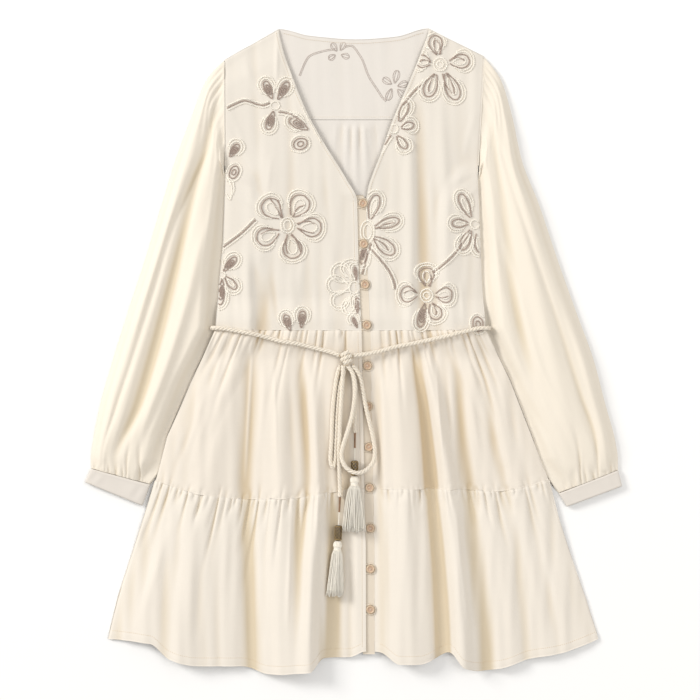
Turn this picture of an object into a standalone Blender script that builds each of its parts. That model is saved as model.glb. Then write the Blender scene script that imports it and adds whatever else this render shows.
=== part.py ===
"""Mini dress lying flat on its back, front up, with a rope belt tied at the waist.

X runs across the dress, Y up its length from hem to neck and Z up from the surface it lies on.
Lengths in the tables are millimetres. Left and right are as seen from above.
Cloth layers are stacked: the sleeves' inner edges and the back of the belt lie lowest, the back
panels rest over them, the fronts over the backs, and the belt's knot, loops and tassels on top.
"""

import math
from bisect import bisect_right

import bmesh
import bpy
from mathutils import Matrix, Vector

MM = 0.001

# Driving sizes
WALL = 1.6  # cloth, measured straight up
GAP = 0.3  # between neighbouring pieces at a seam and between layers
TUCK = 3.8  # flattened sleeve where it lies below the body
CORD = 5.8  # rope belt's diameter
BAND_WIDTH = 16.0  # button band
BAND_UNDER = 4.0  # how far the band reaches below the left front's edge
BUTTON_COUNT = 11
BUTTON_TOP_Y = 200.6
BUTTON_PITCH = 55.35
BUTTON_RADIUS = 5.75
BUTTON_INSET = 8.0  # from the left front's edge
BUTTON_DRIFT = 0.18  # how much less at each button down
LOOP_RADIUS = 7.0
LOOP_CORD = 1.4
WAIST_Y = 28.0
YOKE_Y = 316.0
V_END_Y = 204.7  # where the neck's V meets the button band
BELT_BACK_Y = 30.0
BELT_HUMP = 44.0  # how far from the belt the back panels start to rise over it
CUFF_HEIGHT = 8.2
CUFF_EDGE = 0.78  # share of its height that the cuff has near its ends
WAIST_GATHER = 1.5
WAIST_GATHER_REACH = 85.0
TIER_GATHER = 1.6
TIER_GATHER_REACH = 75.0
CUFF_GATHER = 1.3
UPPER_COLUMNS = (36, 32)  # steps across the left and right front, two to a gather
LOWER_COLUMNS = (54, 50)
SLEEVE_COLUMNS = 17
TASSEL_STRANDS = 36
STRAND_WIDTH = 1.0
BAND_SHOWN = BAND_WIDTH - BAND_UNDER + GAP
HALF_SHOULDER = 176.0  # the yoke's and back's columns are given for this half width

# Body outline: y, left edge x, right edge x
BODY_SIDES = (
    (401, -176, 178),
    (320, -175.5, 173.6),
    (236, -175, 169.2),
    (150, -178, 173),
    (90, -184, 175),
    (28, -188, 180),
    (-40, -222, 214),
    (-115, -254, 243),
    (-183, -271, 267),
    (-230, -286, 280),
    (-340, -322, 318),
    (-400, -336, 335),
)
SHOULDER_LEFT = ((-101.5, 439.0), (-176.0, 397.0))
SHOULDER_RIGHT = ((102.0, 440.0), (178.0, 401.0))

# Left front's inner edge, down the V and the centre front: y, x
LEFT_INNER = (
    (439, -101.5),
    (414, -97),
    (375, -84),
    (327, -64.6),
    (285, -41.5),
    (232, -8.8),
    (204.7, 4.8),
    (116, 6.8),
    (28, 10.9),
    (-258, 16.6),
    (-420, 17),
)
RIGHT_INNER = (
    (440, 102),
    (410, 93),
    (372, 78),
    (316, 53.7),
    (267, 36),
    (240, 25.5),
    (222, 19.5),
    (204.7, 17.1),
)
BACK_NECK = ((-101.5, 439), (-60, 430), (5, 425), (60, 429), (102, 440))

# Seam between the tiers and the hem: x, y
TIER_SEAM = (
    (-272, -178),
    (-225, -192),
    (-187, -198),
    (-149, -202),
    (-86, -200.6),
    (-40, -194),
    (20, -188),
    (86, -188),
    (134, -188),
    (192, -191),
    (240, -184),
    (268, -176),
)
HEM = (
    (-336, -394),
    (-277, -399),
    (-250, -420),
    (-209, -429),
    (-154, -430),
    (-114, -440),
    (-59, -436),
    (-40, -419),
    (-5, -418),
    (16, -410),
    (36, -411),
    (63, -426),
    (90, -426),
    (114, -418),
    (131, -411),
    (150, -430),
    (172, -436),
    (199, -433),
    (240, -420),
    (281, -413),
    (322, -399),
    (336, -394),
)

# How far the front stands off the back: y, height
FRONT_LOFT = (
    (430, 1.5),
    (380, 3),
    (236, 4.5),
    (100, 4.5),
    (28, 2),
    (-10, 4),
    (-60, 8.5),
    (-183, 9),
    (-230, 9.5),
    (-340, 9.5),
    (-440, 8.5),
)
ARMHOLE_LOFT = ((397, 0), (370, 4), (330, 5.5), (290, 4), (250, 0))
CENTRE_LOFT = ((210, 1.5), (100, 2), (28, 2.2), (-60, 3), (-183, 3.5), (-420, 3.5))

# Where the back lies wholly over a sleeve's tucked edge: y, left and right distance from the middle
TUCKED_FROM = (
    (262, 166, 160),
    (232, 150, 146),
    (200, 136, 132),
    (170, 131, 127),
    (130, 130, 126),
    (80, 134, 129),
    (28, 145, 140),
    (-25, 165, 159),
    (-75, 191, 185),
    (-120, 212, 205),
    (-160, 222, 216),
)

# Folds of the front: each has rows of y, x, half width, height
BODICE_FOLDS = (
    ((130, -133, 8, 0), (100, -131, 9, -3), (20, -127, 9, -3), (-10, -127, 8, 0)),
    ((150, -146, 7, 0), (90, -143, 8, 3), (20, -140, 8, 3), (-10, -140, 8, 0)),
    ((150, -88, 9, 0), (90, -86, 11, 2.5), (20, -84, 9, 3), (-10, -84, 8, 0)),
    ((300, -120, 16, 0), (240, -118, 20, 2), (150, -110, 20, 2), (60, -105, 18, 0)),
    ((360, 90, 7, 0), (320, 91, 8, -3), (150, 95, 8, -3.5), (20, 97, 8, -3.5), (-5, 90, 6, 0)),
    ((340, 74, 8, 0), (250, 76, 9, 3), (20, 77, 9, 3.5), (-10, 74, 8, 0)),
    ((350, 118, 10, 0), (250, 123, 12, 3.5), (100, 128, 12, 3.5), (20, 130, 10, 3.5), (-8, 130, 8, 0)),
)
SKIRT_FOLDS = (
    ((20, -160, 10, 0), (-60, -172, 14, 4), (-180, -200, 18, 6), (-440, -232, 26, 8)),
    ((22, -138, 6, 0), (-40, -139, 9, -5), (-200, -146, 12, -7), (-300, -143, 14, -8), (-440, -138, 16, -8)),
    ((15, -106, 9, 0), (-80, -104, 13, 5), (-200, -100, 16, 7), (-440, -93, 20, 9)),
    ((20, -73, 6, 0), (-60, -68, 9, -5), (-190, -57, 10, -6), (-250, -66, 12, -2), (-300, -68, 12, 0)),
    ((0, -55, 7, 0), (-80, -54, 9, 6), (-180, -51, 10, 10), (-300, -57, 12, 13), (-440, -62, 14, 14)),
    ((40, -8, 22, 0), (-30, -8, 30, -4), (-120, -10, 34, -7), (-200, -12, 32, -9), (-440, -14, 32, -9)),
    ((15, 58, 12, 0), (-60, 62, 17, 6), (-180, 70, 21, 9), (-440, 76, 25, 10)),
    ((22, 87, 6, 0), (-15, 88, 8, -6), (-80, 96, 9, -9), (-180, 106, 10, -11), (-440, 124, 12, -12)),
    ((15, 98, 7, 0), (-20, 103, 8, 6), (-80, 113, 10, 10), (-180, 128, 12, 12), (-440, 147, 16, 14)),
    ((10, 138, 6, 0), (-60, 144, 8, -4), (-180, 158, 9, -5), (-260, 168, 11, -4), (-440, 180, 13, -5)),
    ((10, 172, 6, 0), (-60, 182, 8, -4), (-180, 206, 9, -5), (-300, 226, 11, -4), (-440, 240, 13, -5)),
    ((0, 195, 6, 0), (-60, 208, 7, -2), (-180, 236, 9, -3), (-300, 258, 10, -3), (-440, 284, 12, -3)),
    ((-190, -240, 14, 0), (-300, -268, 18, 5), (-440, -290, 20, 6)),
)
# Pleats of the back below the yoke, seen through the neck
BACK_PLEATS = (
    ((312, -9, 4, 0), (300, -9, 4, 2.4), (180, -12, 7, 0)),
    ((312, 3, 4, 0), (298, 3, 4, 2.6), (150, 4, 8, 0)),
    ((312, 14, 4, 0), (300, 15, 4, 2.2), (190, 18, 7, 0)),
)

# Sleeve rings from armhole to cuff: outer x, outer y, inner x, inner y, height over the flat sleeve
LEFT_RINGS = (
    (-176.6, 396, -176.6, 233, 0),
    (-199, 372, -174, 222, 7),
    (-220, 322, -158, 202, 10),
    (-241, 266, -146, 172, 12),
    (-262, 199, -142, 130, 14),
    (-285, 123, -146, 80, 15),
    (-308, 53, -160, 28, 16),
    (-328, -11, -181, -25, 16),
    (-345, -70, -207, -75, 15),
    (-355, -118, -236, -120, 13),
    (-358.5, -145, -258, -158, 9),
    (-358, -160.7, -277.2, -182.4, 3.6),
)
RIGHT_RINGS = (
    (178.6, 400, 170.6, 233, 0),
    (200, 372, 168, 222, 7),
    (216, 322, 153, 202, 10),
    (230, 259, 142, 172, 12),
    (253, 200, 138, 130, 14),
    (279, 123, 141, 80, 15),
    (304, 53, 154, 28, 16),
    (328, -13, 175, -25, 16),
    (343, -70, 201, -75, 15),
    (357, -121, 230, -124, 13),
    (361, -147, 256, -164, 9),
    (361, -162.7, 279.7, -194.4, 3.6),
)
LEFT_SLEEVE_FOLDS = (
    (
        (375, -180, 5, 0),
        (300, -196, 8, -5),
        (205, -222, 9, -6),
        (82, -250, 10, -7),
        (-67, -290, 10, -7),
        (-165, -328, 7, -2),
    ),
    ((330, -205, 7, 0), (205, -241, 8, 3), (60, -283, 9, 3), (-90, -318, 10, 2), (-150, -335, 8, 0)),
    ((200, -203, 8, 0), (82, -222, 11, 4), (-40, -262, 12, 4), (-150, -300, 8, 0)),
)
RIGHT_SLEEVE_FOLDS = (
    ((340, 183, 5, 0), (240, 198, 8, -4), (100, 214, 10, -5), (-67, 246, 11, -5), (-176, 285, 7, -1)),
    ((330, 202, 7, 0), (205, 226, 9, 3), (60, 254, 12, 4), (-90, 288, 12, 3), (-150, 303, 8, 0)),
    ((200, 246, 7, 0), (60, 282, 9, -3), (-90, 322, 10, -4), (-160, 335, 6, 0)),
)
# Cuffs: outer and inner end of the top and bottom edge
LEFT_CUFF = ((-358.1, -161.0), (-277.3, -182.8), (-366.3, -179.5), (-288, -211.5))
RIGHT_CUFF = ((361.1, -163.0), (279.8, -194.8), (366.4, -185), (291, -213))

# Rows of the panels, top to bottom, as y; the waist's rows are the same on front and back
LEFT_INNER_ROWS = (439, 418, 390, 358, 326, 296, 268, 236, 204.7, 160, 118, 76, 66, 52, 38, 28.15)
LEFT_OUTER_ROWS = (397, 384, 362, 336, 310, 286, 262, 232, 196, 158, 118, 76, 66, 52, 38, 28.15)
RIGHT_OUTER_ROWS = (401, 386, 364, 337, 310, 286, 262, 232, 196, 158, 118, 76, 66, 52, 38, 28.15)
BACK_BODICE_ROWS = (315.85, 300, 280, 262, 232, 190, 130, 76, 66, 52, 38, 28.15)
UPPER_FRONT_ROWS = (0, 0.05, 0.12, 0.19, 0.34, 0.55, 0.79, 1)
LOWER_FRONT_ROWS = (0, 0.1, 0.28, 0.52, 0.77, 1)
UPPER_BACK_ROWS = (27.85, 17.6, 3.1, -11.3, -42, -85, -135, -185.85)
LOWER_BACK_ROWS = (-186.15, -230, -290, -350, -408)
BAND_ROWS = (
    (212, 180, 140, 100, 76, 66, 52, 38, 28, 18, 4, -12)
    + (-45, -85, -125, -165, -205, -260, -320, -370, -414)
)
YOKE_ROWS = (0, 0.15, 0.5, 1)
# Columns of the panels, as shares of the width or as x at the shoulder's width
BODICE_COLUMNS = (
    (0, 0.03, 0.07, 0.13, 0.2, 0.27, 0.34, 0.41, 0.48)
    + (0.55, 0.62, 0.69, 0.76, 0.83, 0.89, 0.95, 1)
)
YOKE_COLUMNS = (-176, -140, -101.5, -80, -54, -27, 5, 32, 58, 82, 102, 140, 176)
PLEAT_COLUMNS = (
    (-176, -150, -137, -124, -108, -28, -15, -9, -3)
    + (3, 9, 15, 22, 34, 108, 124, 137, 150, 176)
)
SKIRT_BACK_COLUMNS = (-1, -0.86, -0.78, -0.7, -0.6, -0.4, 0, 0.4, 0.6, 0.7, 0.78, 0.86, 1)
SLEEVE_BACK_SHARES = (0.9, 0.72, 0.5, 0.28, 0.1)
CUFF_SHARES = (0.05, 0.16, 0.38, 0.62, 0.84, 0.95)

# Belt: x, y, z of the rope's centre line
BELT_ROUTE = (
    (-19.2, -6.4, 17.4),
    (-30, -2.4, 15.6),
    (-46, 1.6, 14.4),
    (-73, 8.6, 16.5),
    (-88, 11, 18.4),
    (-100, 13, 18.2),
    (-113, 16.6, 17.6),
    (-127, 20.4, 19.4),
    (-141, 23.6, 21.7),
    (-154, 26, 21.0),
    (-177, 30, 19.8),
    (-187.6, 30.6, 17.9),
    (-191.8, 30.6, 14.2),
    (-192.0, 30.4, 10.2),
    (-188.0, 30, 7.3),
    (-177, 30, 7.0),
    (-152, 30, 6.9),
    (-134, 30, 5.3),
    (-118, 30, 3.8),
    (-103, 30, 3.2),
    (0, 30, 3.2),
    (97, 30, 3.2),
    (112, 30, 3.5),
    (128, 30, 5.1),
    (146, 30, 6.9),
    (169, 30, 7.0),
    (180.0, 30, 7.3),
    (184.0, 30.4, 10.2),
    (183.8, 30.6, 14.2),
    (179.6, 30.6, 17.9),
    (169, 30, 19.8),
    (145, 24.6, 21.3),
    (132, 21, 21.3),
    (118, 17.6, 19.0),
    (97, 13, 16.4),
    (77, 8.8, 17.0),
    (56, 4.8, 15.2),
    (36, -1, 14.0),
    (16, -5, 15.0),
    (-0.4, -7.0, 17.4),
)
LEFT_LOOP_ROUTE = (
    (-17.4, -20.4, 12.8),
    (-21.4, -30, 12.3),
    (-25, -50, 12.3),
    (-28.4, -81, 12.2),
    (-30, -122, 12.2),
    (-31.4, -148, 12.4),
    (-28.2, -158.4, 12.2),
    (-24.6, -148, 11.6),
    (-23.4, -122, 11.4),
    (-21.4, -81, 11.4),
    (-18.4, -50, 11.5),
    (-14, -33, 11.6),
    (-11.2, -20.6, 11.6),
)
LEFT_TAIL_ROUTE = (
    (-14.0, -20.4, 18.0),
    (-14.6, -36, 17.8),
    (-16.2, -60, 17.6),
    (-18, -90, 17.3),
    (-19.4, -125, 17.0),
    (-19.4, -150, 16.8),
    (-19.0, -166, 14.6),
    (-18.6, -182, 11.4),
    (-18.4, -199, 10.4),
)
RIGHT_LOOP_ROUTE = (
    (-7.8, -20.6, 18.4),
    (-1.2, -31, 18.5),
    (2.2, -48, 18.5),
    (1.2, -66, 18.4),
    (-2, -88, 18.4),
    (-8.4, -111, 19.4),
    (-14.4, -129, 22.2),
    (-16.4, -143, 23.2),
    (-12.4, -155, 23.6),
    (-4, -163, 23.8),
    (5.4, -165.6, 23.4),
    (16, -162.6, 20),
    (25, -154, 15.8),
    (28.8, -143, 13.4),
    (27.6, -124, 13.0),
    (21.4, -96, 13.0),
    (16.6, -76, 13.8),
    (13.2, -58, 13.4),
    (9.4, -38, 14.8),
    (4.6, -27, 16.8),
    (-1.4, -20.2, 18.2),
)
RIGHT_TAIL_ROUTE = (
    (-5.0, -20.6, 11.8),
    (-1.0, -34, 11.9),
    (1.2, -55, 12.0),
    (1.6, -80, 12.0),
    (1.9, -111.8, 12.0),
)
KNOT_CENTRE = (-9.8, -9.4, 17.0)
KNOT_RADII = (8.8, 10.2, 7.8)
BELT_STEP = 16.0  # between points along the waist
LOOP_STEP = 13.0
TAIL_STEP = 15.0
LEAST_STEP = 2.5

# Drops: end of the tail, then the lengths of tube, thread, bead, head and strands
LEFT_DROP = {
    "end": (-18.4, -199.0, 10.4),
    "lean": (-0.05, 0.035),
    "tube": 21,
    "thread": 17.5,
    "splay": 2.1,
}
RIGHT_DROP = {
    "end": (1.9, -111.8, 12.0),
    "lean": (-0.01, 0.037),
    "tube": 20,
    "thread": 17.5,
    "splay": 2.9,
}
TUBE_RADIUS = 1.4
THREAD_RADIUS = 0.8
BEAD_LENGTH = 21.0
BEAD_RADIUS = 5.2
HEAD_LENGTH = 12.5
HEAD_RADIUS = 6.0
STRAND_LENGTH = 66.0
STRAND_ROOT = 2.5  # how deep a strand is set in the head
# Turned pieces, as radius and z down the outer side
BUTTON_PROFILE = ((0, 2.1), (3.3, 2.1), (4.4, 2.9), (BUTTON_RADIUS, 1.5), (4.6, 0), (0, 0))
BEAD_HOLE = THREAD_RADIUS + GAP + 0.1
BEAD_PROFILE = (
    (BEAD_HOLE, 0),
    (3.6, 0),
    (BEAD_RADIUS, -2.5),
    (BEAD_RADIUS, 2.5 - BEAD_LENGTH),
    (3.6, -BEAD_LENGTH),
    (BEAD_HOLE, -BEAD_LENGTH),
    (BEAD_HOLE, 0),
)
HEAD_PROFILE = (
    (0, 0),
    (3.2, 0),
    (5.4, -1.6),
    (HEAD_RADIUS, -5),
    (5.6, -8.6),
    (4.4, -9.8),
    (4.4, -11),
    (HEAD_RADIUS - 0.5, -HEAD_LENGTH),
    (0, -HEAD_LENGTH),
)

COLOURS = {
    "cotton": ((0.855, 0.765, 0.630), 0.85, 0.0),
    "rope": ((0.860, 0.780, 0.650), 0.8, 0.0),
    "button": ((0.560, 0.430, 0.320), 0.45, 0.0),
    "tube": ((0.330, 0.190, 0.120), 0.5, 0.0),
    "bead": ((0.180, 0.130, 0.070), 0.35, 0.6),
    "tassel": ((0.800, 0.710, 0.560), 0.75, 0.0),
}


def ease(value):
    """0 to 1 with soft ends."""
    value = min(max(value, 0.0), 1.0)
    return value * value * (3 - 2 * value)


def mix(a, b, share):
    return a + (b - a) * share


def through(rows, key, column=1):
    """Value at `key` of a smooth curve through a table's rows, whose first column rises or falls."""
    sign = 1 if rows[0][0] < rows[-1][0] else -1
    keys = [sign * row[0] for row in rows]
    values = [row[column] for row in rows]
    key = sign * key
    if key <= keys[0]:
        return values[0]
    if key >= keys[-1]:
        return values[-1]
    at = bisect_right(keys, key) - 1

    def slope(i):
        if i <= 0 or i >= len(keys) - 1:
            return 0.0
        before = (values[i] - values[i - 1]) / (keys[i] - keys[i - 1])
        after = (values[i + 1] - values[i]) / (keys[i + 1] - keys[i])
        return 0.0 if before * after <= 0 else 2 * before * after / (before + after)

    width = keys[at + 1] - keys[at]
    t = (key - keys[at]) / width
    start, end = slope(at) * width, slope(at + 1) * width
    return (
        (2 * t**3 - 3 * t**2 + 1) * values[at]
        + (t**3 - 2 * t**2 + t) * start
        + (3 * t**2 - 2 * t**3) * values[at + 1]
        + (t**3 - t**2) * end
    )


def straight(rows, key, column=1):
    """Value at `key` on straight lines between a table's rows."""
    sign = 1 if rows[0][0] < rows[-1][0] else -1
    keys = [sign * row[0] for row in rows]
    key = min(max(sign * key, keys[0]), keys[-1])
    at = min(bisect_right(keys, key) - 1, len(keys) - 2)
    share = (key - keys[at]) / (keys[at + 1] - keys[at])
    return mix(rows[at][column], rows[at + 1][column], share)


def uneven(index, seed):
    """A fixed share from 0 to 1 that differs from one gather to the next."""
    return 0.5 + 0.5 * math.sin(12.9898 * index + 78.233 * seed)


def fold_height(folds, x, y):
    """Height that soft ridges and troughs add at a place."""
    total = 0.0
    for rows in folds:
        height = through(rows, y, 3)
        if height:
            across = (x - through(rows, y, 1)) / through(rows, y, 2)
            total += height * math.exp(-across * across)
    return total


def side_lift(x, y):
    """How far the sleeve's tucked edge lifts the back near the sides."""
    from_armhole, from_cuff = 262 - y, y + 290
    along = ease(from_armhole / 30) * ease(from_cuff / 125)
    full = straight(TUCKED_FROM, y, 1 if x < 0 else 2)
    slope = 22
    return (TUCK + GAP) * along * ease((abs(x) - full) / slope + 1)


def back_under(x, y):
    """Underside of the back panels."""
    flat_top = 8
    belt = ease((BELT_HUMP - abs(y - BELT_BACK_Y)) / (BELT_HUMP - flat_top))
    return side_lift(x, y) + (CORD + 2.3 * GAP) * belt + fold_height(BACK_PLEATS, x, y)


def shoulder_y(x):
    (inner, outer) = SHOULDER_LEFT if x < 0 else SHOULDER_RIGHT
    share = (x - inner[0]) / (outer[0] - inner[0])
    return mix(inner[1], outer[1], share)


def front_under(x, y):
    """Underside of the fronts, without gathers or the button band."""
    left, right = straight(BODY_SIDES, y, 1), straight(BODY_SIDES, y, 2)
    middle, half = (left + right) / 2, (right - left) / 2
    at_edge = min(abs(x - middle) / half, 1.0) ** 7
    loft = through(FRONT_LOFT, y) + fold_height(BODICE_FOLDS, x, y) + fold_height(SKIRT_FOLDS, x, y)
    softness = 3.0
    loft = 0.5 * (loft + math.hypot(loft, softness))
    loft = mix(loft, through(ARMHOLE_LOFT, y), at_edge)
    if y > ARMHOLE_LOFT[-2][0]:
        from_shoulder = shoulder_y(x) - y
        loft *= ease(from_shoulder / 45 + 0.02)
    return back_under(x, y) + WALL + GAP + loft


def centre_x(y):
    return straight(LEFT_INNER, y)


def right_inner_x(y):
    """Right front's inner edge: the V, then the button band's far edge."""
    if y > V_END_Y:
        return through(RIGHT_INNER, y)
    return centre_x(y) + BAND_SHOWN


def band_under(x, y):
    return back_under(x, y) + WALL + GAP + through(CENTRE_LOFT, y)


def left_under(x, y, gather=0.0):
    """Underside of the left front, which laps over the button band."""
    start, slope = 24, 15
    below_v = ease((V_END_Y + 10 - y) / 12)
    over = ease((x - centre_x(y) + start) / slope) * below_v
    free = max(front_under(x, y) + gather, back_under(x, y) + WALL + 2 * GAP)
    return mix(free, band_under(x, y) + WALL + GAP, over)


def right_under(x, y, gather=0.0):
    """Underside of the right front, whose edge meets the button band."""
    below_v = ease((V_END_Y + 20 - y) / 20)
    near = (1 - ease((x - centre_x(y) - BAND_SHOWN) / BAND_WIDTH)) * below_v
    free = max(front_under(x, y) + gather, back_under(x, y) + WALL + 2 * GAP)
    return mix(free, band_under(x, y), near)


def material(name):
    """One of the dress's materials, made the first time that it is asked for."""
    if name in bpy.data.materials:
        return bpy.data.materials[name]
    made = bpy.data.materials.new(name)
    made.use_nodes = True
    colour, roughness, metallic = COLOURS[name]
    shader = made.node_tree.nodes["Principled BSDF"]
    shader.inputs["Base Color"].default_value = (*colour, 1.0)
    shader.inputs["Roughness"].default_value = roughness
    shader.inputs["Metallic"].default_value = metallic
    return made


def add_object(name, data, material_name, collection):
    made = bpy.data.objects.new(name, data)
    data.materials.append(material(material_name))
    collection.objects.link(made)
    return made


def add_mesh(name, bm, material_name, collection):
    bmesh.ops.recalc_face_normals(bm, faces=bm.faces[:])
    mesh = bpy.data.meshes.new(name)
    bm.to_mesh(mesh)
    bm.free()
    mesh.shade_smooth()
    mesh.set_sharp_from_angle(angle=math.radians(50))
    return add_object(name, mesh, material_name, collection)


def cloth_panel(name, columns, rows, point, collection):
    """A wall over point(i, k), its underside at column i and row k, made as thick as the cloth."""
    bm = bmesh.new()
    bmesh.ops.create_grid(bm, x_segments=columns, y_segments=rows, size=0.5)
    for vert in bm.verts:
        i = round((vert.co.x + 0.5) * columns)
        k = round((0.5 - vert.co.y) * rows)
        vert.co = Vector(point(i, k)) * MM
    raised = bmesh.ops.extrude_face_region(bm, geom=bm.faces[:])
    lifted = [part for part in raised["geom"] if isinstance(part, bmesh.types.BMVert)]
    bmesh.ops.translate(bm, vec=(0, 0, WALL * MM), verts=lifted)
    return add_mesh(name, bm, "cotton", collection)


def add_bodices(collection):
    """Left and right front from the shoulder seam to the waist seam."""
    last = len(LEFT_INNER_ROWS) - 1

    def left_point(i, k):
        across = BODICE_COLUMNS[i]
        inner_y, outer_y = LEFT_INNER_ROWS[k], LEFT_OUTER_ROWS[k]
        x = mix(straight(LEFT_INNER, inner_y), straight(BODY_SIDES, outer_y, 1), across)
        y = mix(inner_y, outer_y, across)
        return x, y, left_under(x, y)

    def right_point(i, k):
        across = BODICE_COLUMNS[i]
        inner_y, outer_y = LEFT_INNER_ROWS[k], RIGHT_OUTER_ROWS[k]
        x = mix(right_inner_x(inner_y), straight(BODY_SIDES, outer_y, 2), across)
        y = mix(RIGHT_INNER[0][0] if k == 0 else inner_y, outer_y, across)
        return x, y, right_under(x, y)

    cloth_panel("front_bodice_left", len(BODICE_COLUMNS) - 1, last, left_point, collection)
    cloth_panel("front_bodice_right", len(BODICE_COLUMNS) - 1, last, right_point, collection)


def add_back(collection):
    """Yoke and back bodice."""

    def yoke_point(i, k):
        at_top = YOKE_COLUMNS[i]
        top = through(BACK_NECK, at_top)
        if at_top < BACK_NECK[0][0] or at_top > BACK_NECK[-1][0]:
            top = shoulder_y(at_top)
        y = mix(top, YOKE_Y + GAP / 2, YOKE_ROWS[k])
        left, right = straight(BODY_SIDES, y, 1), straight(BODY_SIDES, y, 2)
        outer = ease((abs(at_top) - BACK_NECK[-1][0]) / 60)
        x = at_top * mix(1, (right if at_top > 0 else -left) / HALF_SHOULDER, outer)
        return x, y, back_under(x, y)

    def bodice_point(i, k):
        y = BACK_BODICE_ROWS[k]
        left, right = straight(BODY_SIDES, y, 1), straight(BODY_SIDES, y, 2)
        x = PLEAT_COLUMNS[i] * (right if PLEAT_COLUMNS[i] > 0 else -left) / HALF_SHOULDER
        return x, y, back_under(x, y)

    cloth_panel("back_yoke", len(YOKE_COLUMNS) - 1, len(YOKE_ROWS) - 1, yoke_point, collection)
    rows = len(BACK_BODICE_ROWS) - 1
    cloth_panel("back_bodice", len(PLEAT_COLUMNS) - 1, rows, bodice_point, collection)


def gather_at(i, y_below, size, seed, reach):
    """Height of the zigzag of gathers at column i, fading with the distance from the seam."""
    gather = i // 2
    length = reach * mix(0.45, 1.35, uneven(gather, seed))
    strength = size * mix(0.65, 1.35, uneven(gather, seed + 3))
    held_at_seam = ease(y_below / 6 + 0.35)
    return strength * (1 if i % 2 else -1) * (1 - ease(y_below / length)) * held_at_seam


def back_x(i, y):
    share = SKIRT_BACK_COLUMNS[i]
    left, right = straight(BODY_SIDES, y, 1), straight(BODY_SIDES, y, 2)
    return share * (right if share > 0 else -left)


def add_upper_tier(collection):
    """Upper skirt: two fronts gathered into the waist seam, and the back."""
    side_end_y = -180
    pucker, pucker_reach = 0.8 * TIER_GATHER, 12

    def point_of(side, columns):
        def point(i, k):
            across, down = i / columns, UPPER_FRONT_ROWS[k]
            y_side = mix(WAIST_Y, side_end_y, down)
            inner = centre_x(y_side) + (0 if side < 0 else BAND_SHOWN)
            x = mix(inner, straight(BODY_SIDES, y_side, 1 if side < 0 else 2), across)
            seam = straight(TIER_SEAM, x)
            y = mix(WAIST_Y - GAP / 2, seam + GAP / 2, down)
            gather = gather_at(i, WAIST_Y - y, WAIST_GATHER, 1 if side < 0 else 2, WAIST_GATHER_REACH)
            gather += gather_at(i, y - seam, pucker, 5, pucker_reach)
            if i in (0, columns):
                gather = 0.0
            return x, y, (left_under if side < 0 else right_under)(x, y, gather)

        return point

    def back_point(i, k):
        y = UPPER_BACK_ROWS[k]
        x = back_x(i, y)
        return x, y, back_under(x, y)

    rows = len(UPPER_FRONT_ROWS) - 1
    for name, side, columns in zip(("left", "right"), (-1, 1), UPPER_COLUMNS):
        cloth_panel(f"upper_skirt_{name}", columns, rows, point_of(side, columns), collection)
    rows = len(UPPER_BACK_ROWS) - 1
    cloth_panel("upper_skirt_back", len(SKIRT_BACK_COLUMNS) - 1, rows, back_point, collection)


def add_lower_tier(collection):
    """Lower skirt: two fronts gathered into the tier seam, and the back."""
    side_top_y, side_end_y, back_end_y = -183, -398, -392
    hem_step = 8  # how much shorter the back shows

    def point_of(side, columns):
        def point(i, k):
            across, down = i / columns, LOWER_FRONT_ROWS[k]
            y_side = mix(side_top_y, side_end_y, down)
            inner = centre_x(y_side) + (0 if side < 0 else BAND_SHOWN)
            x = mix(inner, straight(BODY_SIDES, y_side, 1 if side < 0 else 2), across)
            seam = straight(TIER_SEAM, x)
            y = mix(seam - GAP / 2, through(HEM, x), down)
            gather = gather_at(i, seam - y, TIER_GATHER, 3 if side < 0 else 4, TIER_GATHER_REACH)
            if i in (0, columns):
                gather = 0.0
            return x, y, (left_under if side < 0 else right_under)(x, y, gather)

        return point

    def back_point(i, k):
        y = LOWER_BACK_ROWS[k]
        x = back_x(i, max(y, back_end_y))
        if k == len(LOWER_BACK_ROWS) - 1:
            y = through(HEM, x) + hem_step
        return x, y, back_under(x, y)

    rows = len(LOWER_FRONT_ROWS) - 1
    for name, side, columns in zip(("left", "right"), (-1, 1), LOWER_COLUMNS):
        cloth_panel(f"lower_skirt_{name}", columns, rows, point_of(side, columns), collection)
    rows = len(LOWER_BACK_ROWS) - 1
    cloth_panel("lower_skirt_back", len(SKIRT_BACK_COLUMNS) - 1, rows, back_point, collection)


def add_button_band(collection):
    """Strip below the left front's edge that carries the buttons."""

    def point(i, k):
        y = BAND_ROWS[k]
        x = centre_x(y) - BAND_UNDER + BAND_WIDTH * i / 2
        return x, y, band_under(x, y)

    cloth_panel("button_band", 2, len(BAND_ROWS) - 1, point, collection)


def shell_tube(name, outer, inner, collection):
    """A cloth tube lofted through rings of points, with its inner face through matching rings."""
    bm = bmesh.new()
    skins = [[[bm.verts.new(Vector(p) * MM) for p in ring] for ring in skin] for skin in (outer, inner)]
    around, along = len(outer[0]), len(outer)
    for rings in skins:
        for k in range(along - 1):
            for i in range(around):
                j = (i + 1) % around
                bm.faces.new((rings[k][i], rings[k][j], rings[k + 1][j], rings[k + 1][i]))
    for k in (0, along - 1):
        for i in range(around):
            j = (i + 1) % around
            bm.faces.new((skins[0][k][i], skins[0][k][j], skins[1][k][j], skins[1][k][i]))
    return add_mesh(name, bm, "cotton", collection)


def body_crossing(ring, side):
    """Share of the ring's line at which it goes below the body's edge."""
    column = 1 if side < 0 else 2
    length = math.dist(ring[0:2], ring[2:4])
    least_tuck = 9
    most = 1 - least_tuck / length
    low, high = 0.0, 1.0
    if side * (ring[2] - straight(BODY_SIDES, ring[3], column)) > 0:
        return most
    for _ in range(24):
        share = (low + high) / 2
        x, y = mix(ring[0], ring[2], share), mix(ring[1], ring[3], share)
        outside = side * (x - straight(BODY_SIDES, y, column)) > 0
        low, high = (share, high) if outside else (low, share)
    return min(low, most)


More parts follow.
